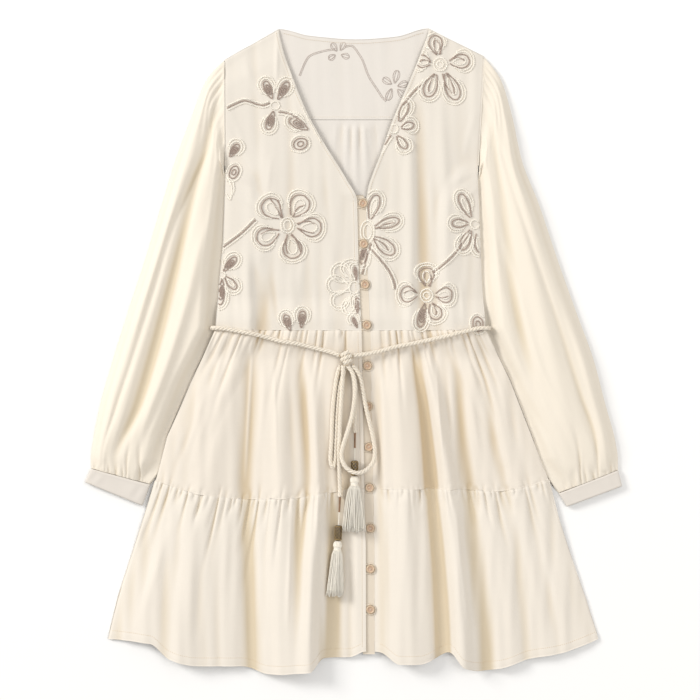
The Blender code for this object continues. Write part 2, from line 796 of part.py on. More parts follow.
def sleeve_ring(ring, number, side, folds, count):
    """Outer and inner points of one ring: outer tip, top, inner tip, bottom."""
    length = math.dist(ring[0:2], ring[2:4])
    crossing = body_crossing(ring, side)
    tip, clear = 2.6 / length, 1.5 / length  # wall at the tips, distance kept from the body's edge
    last_ring = count - 1

    def place(share, z):
        return mix(ring[0], ring[2], share), mix(ring[1], ring[3], share), z

    outer, inner = [place(0, TUCK / 2)], [place(tip, TUCK / 2)]
    for i in range(1, SLEEVE_COLUMNS + 1):
        share = (crossing - clear) * i / SLEEVE_COLUMNS
        x, y, _ = place(share, 0)
        from_outer, from_body = share * length, (crossing - share) * length
        if number == 0:
            rise = max(through(ARMHOLE_LOFT, y) - GAP, 0)
        else:
            soft = ease(from_outer / 22 + 0.1) * ease((from_body - 1.4) / 26)
            rise = (ring[4] + fold_height(folds, x, y)) * soft
            near_cuff = 1 - ease((last_ring - number) / 2.6)
            gather = CUFF_GATHER * mix(0.6, 1.2, uneven(i // 2, 7))
            rise = max(rise + gather * near_cuff * (1 if i % 2 else -1), 0.0)
        outer.append((x, y, TUCK + rise))
        inner.append((x, y, TUCK + rise - WALL))
    for share in (mix(crossing, 1, 0.25), 1 - 1.23 * tip):
        outer.append(place(share, TUCK))
        inner.append(place(share, TUCK - WALL))
    outer.append(place(1, TUCK / 2))
    inner.append(place(1 - tip, TUCK / 2))
    for share in SLEEVE_BACK_SHARES:
        outer.append(place(share, 0))
        inner.append(place(share, WALL))
    return outer, inner


def add_sleeve(name, rings, side, folds, collection):
    pairs = [sleeve_ring(ring, k, side, folds, len(rings)) for k, ring in enumerate(rings)]
    shell_tube(name, [pair[0] for pair in pairs], [pair[1] for pair in pairs], collection)


def add_cuff(name, corners, collection):
    """Band at the wrist, a flattened tube that keeps a low hollow."""
    top_outer, top_inner, low_outer, low_inner = corners
    heights = [CUFF_HEIGHT] * len(CUFF_SHARES)
    heights[0] = heights[-1] = CUFF_HEIGHT * CUFF_EDGE
    tip = 0.025
    outer, inner = [], []
    for down in (0, 0.5, 1):
        start = [mix(a, b, down) for a, b in zip(top_outer, low_outer)]
        end = [mix(a, b, down) for a, b in zip(top_inner, low_inner)]

        def place(share, z):
            return mix(start[0], end[0], share), mix(start[1], end[1], share), z

        top = [place(s, z) for s, z in zip(CUFF_SHARES, heights)]
        low = [place(s, 0) for s in reversed(CUFF_SHARES)]
        outer.append([place(0, CUFF_HEIGHT / 2), *top, place(1, CUFF_HEIGHT / 2), *low])
        top = [place(s, z - WALL) for s, z in zip(CUFF_SHARES, heights)]
        low = [place(s, WALL) for s in reversed(CUFF_SHARES)]
        inner.append([place(tip, CUFF_HEIGHT / 2), *top, place(1 - tip, CUFF_HEIGHT / 2), *low])
    shell_tube(name, outer, inner, collection)


def add_turned(name, profile, steps, material_name, collection):
    """A turned piece about its own Z axis; the profile runs down its outer side as radius, z."""
    mesh = bpy.data.meshes.new(name)
    points = [(radius * MM, 0, z * MM) for radius, z in profile]
    mesh.from_pydata(points, [(i, i + 1) for i in range(len(points) - 1)], [])
    made = add_object(name, mesh, material_name, collection)
    screw = made.modifiers.new("Turn", "SCREW")
    screw.steps = screw.render_steps = steps
    screw.use_merge_vertices = True
    screw.merge_threshold = 0.00001
    screw.use_smooth_shade = True
    return made


def button_places():
    """Centre of each button on the band's top face."""
    for k in range(BUTTON_COUNT):
        y = BUTTON_TOP_Y - BUTTON_PITCH * k
        x = centre_x(y) + BUTTON_INSET - BUTTON_DRIFT * k
        yield k, x, y, band_under(x, y) + WALL


def add_buttons(collection):
    for k, x, y, top in button_places():
        button = add_turned(f"button_{k + 1:02d}", BUTTON_PROFILE, 10, "button", collection)
        button.location = Vector((x, y, top + 1.5 * GAP)) * MM


def add_tube(name, points, diameter, resolution, material_name, collection):
    """A tube along straight steps between points, with closed ends."""
    curve = bpy.data.curves.new(name, "CURVE")
    curve.dimensions = "3D"
    curve.bevel_depth = diameter / 2 * MM
    curve.bevel_resolution = resolution
    curve.use_fill_caps = True
    spline = curve.splines.new("POLY")
    spline.points.add(len(points) - 1)
    for target, point in zip(spline.points, points):
        target.co = (*(Vector(point) * MM), 1.0)
    return add_object(name, curve, material_name, collection)


def add_button_loops(collection):
    """Thin cord loop round each button, from the left front's edge."""
    widest, steps = 2.1, 5
    for k, x, y, top in button_places():
        edge = centre_x(y) + 1.3 * GAP
        start = min(widest, math.acos(max((edge + 1.0 - x) / LOOP_RADIUS, -1.0)))
        z = top + 2.3 * GAP + LOOP_CORD / 2
        angles = [start * (1 - 2 * i / steps) for i in range(steps + 1)]
        arc = [(x + LOOP_RADIUS * math.cos(a), y + LOOP_RADIUS * math.sin(a), z) for a in angles]
        ends = [(edge, arc[0][1], z), (edge, arc[-1][1], z)]
        add_tube(f"button_loop_{k + 1:02d}", [ends[0], *arc, ends[1]], LOOP_CORD, 0, "cotton", collection)


def smooth_route(route, step, bend=math.radians(24)):
    """Points of a smooth curve through the route's own points, closer together where it bends."""
    points = [Vector(p) for p in route]
    points = [points[0] * 2 - points[1], *points, points[-1] * 2 - points[-2]]
    dense, between = [], 12
    for a, b, c, d in zip(points, points[1:], points[2:], points[3:]):
        square = 2 * a - 5 * b + 4 * c - d
        cube = 3 * b - a - 3 * c + d
        for i in range(between):
            t = i / between
            dense.append(0.5 * (2 * b + (c - a) * t + square * t**2 + cube * t**3))
    dense.append(points[-2])
    kept, run = [0], 0.0
    for i in range(1, len(dense) - 1):
        run += (dense[i] - dense[i - 1]).length
        turned = (dense[i + 1] - dense[i]).angle(dense[kept[-1] + 1] - dense[kept[-1]], 0.0)
        if run >= step or (turned >= bend and run >= LEAST_STEP):
            kept.append(i)
            run = 0.0
    if run < step / 3 and len(kept) > 1:
        kept.pop()
    return [dense[i] for i in kept] + [dense[-1]]


def add_belt(collection):
    """Rope belt: round the waist, its bow's loops and tails, and the knot."""
    pieces = (
        ("belt_waist", BELT_ROUTE, BELT_STEP),
        ("belt_loop_left", LEFT_LOOP_ROUTE, LOOP_STEP),
        ("belt_tail_left", LEFT_TAIL_ROUTE, TAIL_STEP),
        ("belt_loop_right", RIGHT_LOOP_ROUTE, LOOP_STEP),
        ("belt_tail_right", RIGHT_TAIL_ROUTE, TAIL_STEP),
    )
    for name, route, step in pieces:
        add_tube(name, smooth_route(route, step), CORD, 2, "rope", collection)
    bm = bmesh.new()
    bmesh.ops.create_uvsphere(bm, u_segments=14, v_segments=8, radius=1)
    bmesh.ops.scale(bm, vec=Vector(KNOT_RADII) * MM, verts=bm.verts)
    bmesh.ops.translate(bm, vec=Vector(KNOT_CENTRE) * MM, verts=bm.verts)
    add_mesh("belt_knot", bm, "rope", collection)


def drop_frame(drop, distance):
    """Place and turn of a piece whose axis runs down the drop, at a distance from the tail's end."""
    axis = Vector((drop["lean"][0], -1, drop["lean"][1])).normalized()
    turn = (-axis).to_track_quat("Z", "Y").to_matrix().to_4x4()
    centre = Vector(drop["end"]) + axis * distance
    return Matrix.Translation(centre * MM) @ turn


def strand_points(drop):
    """Root and tip of each strand across the head's end, in the drop's own axes."""
    for k in range(TASSEL_STRANDS):
        radius = 0.75 * HEAD_RADIUS * math.sqrt((k + 0.5) / TASSEL_STRANDS)
        angle = k * math.pi * (3 - math.sqrt(5))
        root = Vector((radius * math.cos(angle), radius * math.sin(angle), 0))
        reach = STRAND_LENGTH * mix(0.92, 1, uneven(k, 9))
        tip = Vector((root.x * drop["splay"], root.y * 1.05, -reach))
        yield root, tip


def add_tassel(name, drop, head_start, collection, helpers):
    """Wrapped head with strands fused into its end; the strands stand apart."""
    head = add_turned(name, HEAD_PROFILE, 14, "tassel", collection)
    head.matrix_world = drop_frame(drop, head_start)
    bm = bmesh.new()
    for root, tip in strand_points(drop):
        top = root + Vector((0, 0, -HEAD_LENGTH + STRAND_ROOT))
        end = tip + Vector((0, 0, -HEAD_LENGTH))
        way = end - top
        turn = way.to_track_quat("Z", "Y").to_matrix().to_4x4()
        made = bmesh.ops.create_cone(
            bm,
            cap_ends=True,
            segments=3,
            radius1=STRAND_WIDTH / 2 * MM,
            radius2=STRAND_WIDTH / 2 * MM,
            depth=way.length * MM,
        )
        place = Matrix.Translation((top + end) / 2 * MM) @ turn
        bmesh.ops.transform(bm, matrix=place, verts=made["verts"])
    mesh = bpy.data.meshes.new(f"{name}_strands")
    bm.to_mesh(mesh)
    bm.free()
    strands = bpy.data.objects.new(f"{name}_strands", mesh)
    strands.matrix_world = drop_frame(drop, head_start)
    strands.hide_render = True
    strands.display_type = "WIRE"
    helpers.objects.link(strands)
    join = head.modifiers.new("Strands", "BOOLEAN")
    join.operation = "UNION"
    join.object = strands
    return head


def add_drop(side, drop, collection, helpers):
    """Tube, thread, bead and tassel below one end of the belt."""
    axis = Vector((drop["lean"][0], -1, drop["lean"][1])).normalized()
    end = Vector(drop["end"])
    tube_end = GAP + drop["tube"]
    bead_start = tube_end + drop["thread"]
    head_start = bead_start + BEAD_LENGTH + GAP
    tube = (end + axis * GAP, end + axis * tube_end)
    add_tube(f"drop_tube_{side}", tube, 2 * TUBE_RADIUS, 2, "tube", collection)
    thread = (end + axis * (tube_end + GAP), end + axis * (head_start - GAP))
    add_tube(f"drop_thread_{side}", thread, 2 * THREAD_RADIUS, 1, "tassel", collection)
    bead = add_turned(f"bead_{side}", BEAD_PROFILE, 14, "bead", collection)
    bead.matrix_world = drop_frame(drop, bead_start)
    add_tassel(f"tassel_{side}", drop, head_start, collection, helpers)


def build():
    for item in list(bpy.data.objects):
        bpy.data.objects.remove(item)
    dress = bpy.data.collections.new("mini_dress")
    helpers = bpy.data.collections.new("helpers")
    bpy.context.scene.collection.children.link(dress)
    bpy.context.scene.collection.children.link(helpers)
    add_bodices(dress)
    add_back(dress)
    add_upper_tier(dress)
    add_lower_tier(dress)
    add_button_band(dress)
    add_sleeve("sleeve_left", LEFT_RINGS, -1, LEFT_SLEEVE_FOLDS, dress)
    add_sleeve("sleeve_right", RIGHT_RINGS, 1, RIGHT_SLEEVE_FOLDS, dress)
    add_cuff("cuff_left", LEFT_CUFF, dress)
    add_cuff("cuff_right", RIGHT_CUFF, dress)
    add_buttons(dress)
    add_button_loops(dress)
    add_belt(dress)
    add_drop("left", LEFT_DROP, dress, helpers)
    add_drop("right", RIGHT_DROP, dress, helpers)


build()
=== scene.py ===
# %% [markdown]
# # A mini dress, laid flat on its back
# The real dress is thin cream cotton: two fronts, a back with a yoke, two gathered tiers of skirt,
# full sleeves with cuffs, a buttoned front, couched yarn flowers and a rope belt with tassels.
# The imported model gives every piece's place. Here each one is made again with its fine form.

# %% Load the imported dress
import math

import bmesh
import bpy
import numpy as np
from mathutils import Matrix, Vector


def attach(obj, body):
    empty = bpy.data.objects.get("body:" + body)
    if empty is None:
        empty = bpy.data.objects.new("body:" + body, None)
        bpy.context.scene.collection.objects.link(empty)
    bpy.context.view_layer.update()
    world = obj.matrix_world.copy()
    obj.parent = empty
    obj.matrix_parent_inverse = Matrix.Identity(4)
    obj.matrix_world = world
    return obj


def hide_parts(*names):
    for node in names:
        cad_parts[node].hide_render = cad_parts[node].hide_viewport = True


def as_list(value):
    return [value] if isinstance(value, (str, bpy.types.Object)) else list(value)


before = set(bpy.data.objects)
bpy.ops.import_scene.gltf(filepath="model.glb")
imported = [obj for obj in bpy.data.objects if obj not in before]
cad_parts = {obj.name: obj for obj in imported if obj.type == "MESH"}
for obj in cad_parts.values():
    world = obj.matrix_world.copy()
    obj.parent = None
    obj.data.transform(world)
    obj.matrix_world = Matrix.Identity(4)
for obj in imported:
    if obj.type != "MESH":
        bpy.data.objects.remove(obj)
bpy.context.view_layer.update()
bpy.ops.object.select_all(action="DESELECT")
MM = 0.001
print(f"{len(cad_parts)} nodes loaded")

# %% [markdown]
# ## Helpers for finishes
# A finish is a few shader nodes joined up. These helpers make a node, give its inputs their
# values and join nodes, so that each recipe further on stays short.


# %% Nodes
def srgb(red, green, blue):
    """A colour as seen, 0 to 255, in the shader's own scale."""
    values = [channel / 255 for channel in (red, green, blue)]
    return [v / 12.92 if v <= 0.04045 else ((v + 0.055) / 1.055) ** 2.4 for v in values] + [1.0]


def new_material(name):
    """A material, its node tree and its Principled shader."""
    made = bpy.data.materials.new(name)
    made.use_nodes = True
    return made, made.node_tree, made.node_tree.nodes["Principled BSDF"]


def give(node, **values):
    """Puts values in a node's inputs; in a name, _ stands for a space."""
    for name, value in values.items():
        node.inputs[name.replace("_", " ")].default_value = value
    return node


def add_node(tree, kind, **values):
    return give(tree.nodes.new(kind), **values)


def add_math(tree, operation, *entries):
    """A math node; each entry is a number, or a node with its output."""
    node = tree.nodes.new("ShaderNodeMath")
    node.operation = operation
    for k, entry in enumerate(entries):
        if isinstance(entry, tuple):
            tree.links.new(entry[0].outputs[entry[1]], node.inputs[k])
        else:
            node.inputs[k].default_value = entry
    return node


def add_ramp(tree, low, high, start=0.0, end=1.0):
    """A ramp from one colour to another."""
    ramp = tree.nodes.new("ShaderNodeValToRGB")
    for k, colour, position in ((0, low, start), (1, high, end)):
        ramp.color_ramp.elements[k].color = colour
        ramp.color_ramp.elements[k].position = position
    return ramp


def join(tree, *rows):
    """Each row is a node and its output, then the node and input it leads to."""
    for start, output, end, entry in rows:
        tree.links.new(start.outputs[output], end.inputs[entry])


print("node helpers ready")

# %% [markdown]
# ## Camera, floor and light
# The dress was photographed from straight above, cut out on white, in broad soft light.
# A long lens high over the middle keeps its outline true. One big soft light from the upper left
# models the folds, and a pale sky fills them, as in a bright studio.

# %% Camera
VIEW_WIDTH = 0.952  # how much of the floor's width the picture shows
LENS = 85.0
SENSOR = 36.0
DRESS_HEIGHT = 0.012
VIEW_CENTRE = (-0.0048, 0.0007)

camera_data = bpy.data.cameras.new("camera")
camera_data.lens = LENS
camera_data.sensor_width = SENSOR
camera = bpy.data.objects.new("camera", camera_data)
bpy.context.scene.collection.objects.link(camera)
camera.location = (*VIEW_CENTRE, VIEW_WIDTH * LENS / SENSOR + DRESS_HEIGHT)
bpy.context.scene.camera = camera
print(f"camera {camera.location.z:.2f} m over the dress")

# %% Floor and lights
FLOOR_SIZE = 12.0


def floor_material():
    made, tree, shader = new_material("pale_floor")
    noise = add_node(tree, "ShaderNodeTexNoise", Scale=6.0)
    ramp = add_ramp(tree, (0.90, 0.895, 0.885, 1), (0.93, 0.928, 0.92, 1))
    join(tree, (noise, "Fac", ramp, "Fac"), (ramp, "Color", shader, "Base Color"))
    give(shader, Roughness=0.9)
    return made


bpy.ops.mesh.primitive_plane_add(size=FLOOR_SIZE, location=(0, 0, 0))
floor = bpy.context.object
floor.name = "floor"
floor.data.materials.append(floor_material())


def soft_light(name, place, size, power, colour):
    light = bpy.data.lights.new(name, "AREA")
    light.shape = "SQUARE"
    light.size = size
    light.energy = power
    light.color = colour
    made = bpy.data.objects.new(name, light)
    made.location = place
    made.rotation_mode = "QUATERNION"
    made.rotation_quaternion = (-Vector(place)).to_track_quat("-Z", "Y")
    bpy.context.scene.collection.objects.link(made)


SKY_COLOUR, SKY_STRENGTH = (1.0, 0.985, 0.965, 1), 0.54
soft_light("key_light", (-4.2, 2.3, 2.7), 1.8, 212, (1.0, 0.985, 0.965))
soft_light("top_light", (1.6, 0.3, 3.2), 2.4, 47, (1.0, 0.99, 0.98))
bpy.context.scene.view_settings.view_transform = "Standard"
world = bpy.data.worlds.new("studio")
bpy.context.scene.world = world
world.use_nodes = True
give(world.node_tree.nodes["Background"], Color=SKY_COLOUR, Strength=SKY_STRENGTH)
bpy.ops.object.select_all(action="DESELECT")
print("floor, two soft lights and a pale sky")

# %% [markdown]
# ## The dress's tables
# The same tables shape the solids and the cloth, so both lie in one place:
# outlines as y and x, folds as y, x, half width and height, all in millimetres.

# %% Sizes and outlines
WALL = 1.6  # cloth, measured straight up
GAP = 0.3  # between neighbouring pieces at a seam and between layers
TUCK = 3.8  # flattened sleeve where it lies below the body
CORD = 5.8  # rope belt's diameter
BAND_WIDTH = 16.0  # button band
BAND_UNDER = 4.0  # how far the band reaches below the left front's edge
BUTTON_COUNT = 11
BUTTON_TOP_Y = 200.6
BUTTON_PITCH = 55.35
BUTTON_RADIUS = 5.75
BUTTON_INSET = 8.0  # from the left front's edge
BUTTON_DRIFT = 0.18  # how much less at each button down
LOOP_RADIUS = 7.0
LOOP_CORD = 1.4
WAIST_Y = 28.0
YOKE_Y = 316.0
V_END_Y = 204.7  # where the neck's V meets the button band
BELT_BACK_Y = 30.0
BELT_HUMP = 44.0  # how far from the belt the back panels start to rise over it
CUFF_HEIGHT = 8.2
BAND_SHOWN = BAND_WIDTH - BAND_UNDER + GAP
HALF_SHOULDER = 176.0  # the yoke's and back's columns are given for this half width
BODY_SIDES = (
    (401, -176, 178), (320, -175.5, 173.6), (236, -175, 169.2), (150, -178, 173), (90, -184, 175),
    (28, -188, 180), (-40, -222, 214), (-115, -254, 243), (-183, -271, 267), (-230, -286, 280),
    (-340, -322, 318), (-400, -336, 335),
)
SHOULDER_LEFT = ((-101.5, 439.0), (-176.0, 397.0))
SHOULDER_RIGHT = ((102.0, 440.0), (178.0, 401.0))
LEFT_INNER = (
    (439, -101.5), (414, -97), (375, -84), (327, -64.6), (285, -41.5), (232, -8.8), (204.7, 4.8),
    (116, 6.8), (28, 10.9), (-258, 16.6), (-420, 17),
)
RIGHT_INNER = (
    (440, 102), (410, 93), (372, 78), (316, 53.7), (267, 36), (240, 25.5), (222, 19.5),
    (204.7, 17.1),
)
BACK_NECK = ((-101.5, 439), (-60, 430), (5, 425), (60, 429), (102, 440))
TIER_SEAM = (
    (-272, -178), (-225, -192), (-187, -198), (-149, -202), (-86, -200.6), (-40, -194), (20, -188),
    (86, -188), (134, -188), (192, -191), (240, -184), (268, -176),
)
HEM = (
    (-336, -394), (-277, -399), (-250, -420), (-209, -429), (-154, -430), (-114, -440),
    (-59, -436), (-40, -419), (-5, -418), (16, -410), (36, -411), (63, -426), (90, -426),
    (114, -418), (131, -411), (150, -430), (172, -436), (199, -433), (240, -420), (281, -413),
    (322, -399), (336, -394),
)

# %% Heights of the layers
FRONT_LOFT = (
    (430, 1.5), (380, 3), (236, 4.5), (100, 4.5), (28, 2), (-10, 4), (-60, 8.5), (-183, 9),
    (-230, 9.5), (-340, 9.5), (-440, 8.5),
)
ARMHOLE_LOFT = ((397, 0), (370, 4), (330, 5.5), (290, 4), (250, 0))
CENTRE_LOFT = ((210, 1.5), (100, 2), (28, 2.2), (-60, 3), (-183, 3.5), (-420, 3.5))
TUCKED_FROM = (
    (262, 166, 160), (232, 150, 146), (200, 136, 132), (170, 131, 127), (130, 130, 126),
    (80, 134, 129), (28, 145, 140), (-25, 165, 159), (-75, 191, 185), (-120, 212, 205),
    (-160, 222, 216),
)

# %% Main folds
BODICE_FOLDS = (
    ((130, -133, 8, 0), (100, -131, 9, -3), (20, -127, 9, -3), (-10, -127, 8, 0)),
    ((150, -146, 7, 0), (90, -143, 8, 3), (20, -140, 8, 3), (-10, -140, 8, 0)),
    ((150, -88, 9, 0), (90, -86, 11, 2.5), (20, -84, 9, 3), (-10, -84, 8, 0)),
    ((300, -120, 16, 0), (240, -118, 20, 2), (150, -110, 20, 2), (60, -105, 18, 0)),
    ((360, 90, 7, 0), (320, 91, 8, -3), (150, 95, 8, -3.5), (20, 97, 8, -3.5), (-5, 90, 6, 0)),
    ((340, 74, 8, 0), (250, 76, 9, 3), (20, 77, 9, 3.5), (-10, 74, 8, 0)),
    ((350, 118, 10, 0), (250, 123, 12, 3.5), (100, 128, 12, 3.5), (20, 130, 10, 3.5), (-8, 130, 8, 0)),
)
SKIRT_FOLDS = (
    ((20, -160, 10, 0), (-60, -172, 14, 4), (-180, -200, 18, 6), (-440, -232, 26, 8)),
    ((22, -138, 6, 0), (-40, -139, 9, -5), (-200, -146, 12, -7), (-300, -143, 14, -8),
     (-440, -138, 16, -8)),
    ((15, -106, 9, 0), (-80, -104, 13, 5), (-200, -100, 16, 7), (-440, -93, 20, 9)),
    ((20, -73, 6, 0), (-60, -68, 9, -5), (-190, -57, 10, -6), (-250, -66, 12, -2), (-300, -68, 12, 0)),
    ((0, -55, 7, 0), (-80, -54, 9, 6), (-180, -51, 10, 10), (-300, -57, 12, 13), (-440, -62, 14, 14)),
    ((40, -8, 22, 0), (-30, -8, 30, -4), (-120, -10, 34, -7), (-200, -12, 32, -9), (-440, -14, 32, -9)),
    ((15, 58, 12, 0), (-60, 62, 17, 6), (-180, 70, 21, 9), (-440, 76, 25, 10)),
    ((22, 87, 6, 0), (-15, 88, 8, -6), (-80, 96, 9, -9), (-180, 106, 10, -11), (-440, 124, 12, -12)),
    ((15, 98, 7, 0), (-20, 103, 8, 6), (-80, 113, 10, 10), (-180, 128, 12, 12), (-440, 147, 16, 14)),
    ((10, 138, 6, 0), (-60, 144, 8, -4), (-180, 158, 9, -5), (-260, 168, 11, -4), (-440, 180, 13, -5)),
    ((10, 172, 6, 0), (-60, 182, 8, -4), (-180, 206, 9, -5), (-300, 226, 11, -4), (-440, 240, 13, -5)),
    ((0, 195, 6, 0), (-60, 208, 7, -2), (-180, 236, 9, -3), (-300, 258, 10, -3), (-440, 284, 12, -3)),
    ((-190, -240, 14, 0), (-300, -268, 18, 5), (-440, -290, 20, 6)),
)
BACK_PLEATS = (
    ((312, -9, 4, 0), (300, -9, 4, 2.4), (180, -12, 7, 0)),
    ((312, 3, 4, 0), (298, 3, 4, 2.6), (150, 4, 8, 0)),
    ((312, 14, 4, 0), (300, 15, 4, 2.2), (190, 18, 7, 0)),
)

# %% Sleeves and cuffs
LEFT_RINGS = (
    (-176.6, 396, -176.6, 233, 0), (-199, 372, -174, 222, 7), (-220, 322, -158, 202, 10),
    (-241, 266, -146, 172, 12), (-262, 199, -142, 130, 14), (-285, 123, -146, 80, 15),
    (-308, 53, -160, 28, 16), (-328, -11, -181, -25, 16), (-345, -70, -207, -75, 15),
    (-355, -118, -236, -120, 13), (-358.5, -145, -258, -158, 9),
    (-358, -160.7, -277.2, -182.4, 3.6),
)
RIGHT_RINGS = (
    (178.6, 400, 170.6, 233, 0), (200, 372, 168, 222, 7), (216, 322, 153, 202, 10),
    (230, 259, 142, 172, 12), (253, 200, 138, 130, 14), (279, 123, 141, 80, 15),
    (304, 53, 154, 28, 16), (328, -13, 175, -25, 16), (343, -70, 201, -75, 15),
    (357, -121, 230, -124, 13), (361, -147, 256, -164, 9), (361, -162.7, 279.7, -194.4, 3.6),
)
LEFT_SLEEVE_FOLDS = (
    (
        (375, -180, 5, 0), (300, -196, 8, -5), (205, -222, 9, -6), (82, -250, 10, -7),
        (-67, -290, 10, -7), (-165, -328, 7, -2),
    ),
    ((330, -205, 7, 0), (205, -241, 8, 3), (60, -283, 9, 3), (-90, -318, 10, 2), (-150, -335, 8, 0)),
    ((200, -203, 8, 0), (82, -222, 11, 4), (-40, -262, 12, 4), (-150, -300, 8, 0)),
)
RIGHT_SLEEVE_FOLDS = (
    ((340, 183, 5, 0), (240, 198, 8, -4), (100, 214, 10, -5), (-67, 246, 11, -5), (-176, 285, 7, -1)),
    ((330, 202, 7, 0), (205, 226, 9, 3), (60, 254, 12, 4), (-90, 288, 12, 3), (-150, 303, 8, 0)),
    ((200, 246, 7, 0), (60, 282, 9, -3), (-90, 322, 10, -4), (-160, 335, 6, 0)),
)
LEFT_CUFF = ((-358.1, -161.0), (-277.3, -182.8), (-366.3, -179.5), (-288, -211.5))
RIGHT_CUFF = ((361.1, -163.0), (279.8, -194.8), (366.4, -185), (291, -213))
LEFT_INNER_ROWS = (439, 418, 390, 358, 326, 296, 268, 236, 204.7, 160, 118, 76, 66, 52, 38, 28.15)
LEFT_OUTER_ROWS = (397, 384, 362, 336, 310, 286, 262, 232, 196, 158, 118, 76, 66, 52, 38, 28.15)
RIGHT_OUTER_ROWS = (401, 386, 364, 337, 310, 286, 262, 232, 196, 158, 118, 76, 66, 52, 38, 28.15)

# %% [markdown]
# ## Reading the tables
# Cloth needs the height at tens of thousands of places at once, so these functions take whole
# arrays. A smooth curve runs through a table without overshooting, as a pattern cutter's would.


# %% Curves through tables
def ease(value):
    """0 to 1 with soft ends."""
    value = np.clip(value, 0.0, 1.0)
    return value * value * (3 - 2 * value)


def mix(a, b, share):
    return a + (b - a) * share


def rising(rows):
    table = np.array(rows, float)
    return table if table[0, 0] < table[-1, 0] else table[::-1]


def through(rows, key, column=1):
    """Values at `key` of a smooth curve through a table's rows."""
    table = rising(rows)
    keys, values = table[:, 0], table[:, column]
    key = np.clip(key, keys[0], keys[-1])
    steps = np.diff(values) / np.diff(keys)
    slopes = np.zeros(len(keys))
    before, after = steps[:-1], steps[1:]
    same_way = before * after > 0
    slopes[1:-1][same_way] = 2 * (before * after)[same_way] / (before + after)[same_way]
    at = np.clip(np.searchsorted(keys, key, side="right") - 1, 0, len(keys) - 2)
    width = keys[at + 1] - keys[at]
    t = (key - keys[at]) / width
    return (
        (2 * t**3 - 3 * t**2 + 1) * values[at]
        + (t**3 - 2 * t**2 + t) * slopes[at] * width
        + (3 * t**2 - 2 * t**3) * values[at + 1]
        + (t**3 - t**2) * slopes[at + 1] * width
    )


def straight(rows, key, column=1):
    table = rising(rows)
    return np.interp(key, table[:, 0], table[:, column])


def fold_height(folds, x, y):
    """Height that soft ridges and troughs add."""
    total = np.zeros(np.broadcast(x, y).shape)
    for rows in folds:
        across = (x - through(rows, y, 1)) / through(rows, y, 2)
        total = total + through(rows, y, 3) * np.exp(-across * across)
    return total


# %% Undersides of the layers
TUCK_TOP_Y, TUCK_FADE_TOP = 262, 30  # where the tucked sleeve edge starts, and over how much
TUCK_LOW_Y, TUCK_FADE_LOW = -290, 125  # the same at its lower end
TUCK_SLOPE = 22  # width over which the back comes down beside the tucked edge
HUMP_FLAT = 8  # half of the level part of the back's rise over the belt
LOFT_SOFTNESS = 3.0  # rounds the foot of a fold instead of letting the cloth go below its floor
SIDE_CURVE = 7  # a high power: the front curves down only close to the side seams
SHOULDER_FADE = 45  # below the shoulder seam, over which the chest rises to its full height


def side_x(y, side):
    """The body's left or right edge at a height of the dress."""
    return straight(BODY_SIDES, y, 1 if side < 0 else 2)


def side_lift(x, y):
    """How far the sleeve's tucked edge lifts the back near the sides."""
    along = ease((TUCK_TOP_Y - y) / TUCK_FADE_TOP) * ease((y - TUCK_LOW_Y) / TUCK_FADE_LOW)
    full = np.where(x < 0, straight(TUCKED_FROM, y, 1), straight(TUCKED_FROM, y, 2))
    return (TUCK + GAP) * along * ease((np.abs(x) - full) / TUCK_SLOPE + 1)


def back_under(x, y):
    belt = ease((BELT_HUMP - np.abs(y - BELT_BACK_Y)) / (BELT_HUMP - HUMP_FLAT))
    return side_lift(x, y) + (CORD + 2.3 * GAP) * belt + fold_height(BACK_PLEATS, x, y)


def shoulder_y(x):
    """The shoulder seam on either side, from the neck out to the armhole."""
    left, right = (
        mix(neck_y, end_y, (x - neck_x) / (end_x - neck_x))
        for (neck_x, neck_y), (end_x, end_y) in (SHOULDER_LEFT, SHOULDER_RIGHT)
    )
    return np.where(x < 0, left, right)


def front_under(x, y):
    """Underside of the fronts, without gathers or the button band."""
    left, right = side_x(y, -1), side_x(y, 1)
    middle, half = (left + right) / 2, (right - left) / 2
    at_edge = np.minimum(np.abs(x - middle) / half, 1.0) ** SIDE_CURVE
    loft = through(FRONT_LOFT, y) + fold_height(BODICE_FOLDS, x, y) + fold_height(SKIRT_FOLDS, x, y)
    loft = 0.5 * (loft + np.hypot(loft, LOFT_SOFTNESS))
    loft = mix(loft, through(ARMHOLE_LOFT, y), at_edge)
    chest = ease((shoulder_y(x) - y) / SHOULDER_FADE + 0.02)
    loft = loft * np.where(y > ARMHOLE_LOFT[-2][0], chest, 1.0)
    return back_under(x, y) + WALL + GAP + loft


def centre_x(y):
    return straight(LEFT_INNER, y)


def band_under(x, y):
    return back_under(x, y) + WALL + GAP + through(CENTRE_LOFT, y)


def side_under(x, y, side, gather=0.0):
    """Underside of one side of the front: free cloth, and near the middle what the band allows."""
    free = np.maximum(front_under(x, y) + gather, back_under(x, y) + WALL + 2 * GAP)
    if side < 0:  # laps over the band from 24 mm to 9 mm before its own edge
        over = ease((x - centre_x(y) + 24) / 15) * ease((V_END_Y + 10 - y) / 12)
        return mix(free, band_under(x, y) + WALL + GAP, over)
    near = (1 - ease((x - centre_x(y) - BAND_SHOWN) / BAND_WIDTH)) * ease((V_END_Y + 20 - y) / 20)
    return mix(free, band_under(x, y), near)


print(f"front at the waist: {float(front_under(60.0, 28.0)):.1f} mm up")

# %% [markdown]
# ## Fine form of thin cotton
# Laid cotton is never flat: it keeps slow uneven waves along the grain, short drag creases by
# seams, and at a gathered seam a row of tight ridges that open out and fade. Each is a small
# height added to the main folds. The gathers' places are drawn once from a fixed seed.


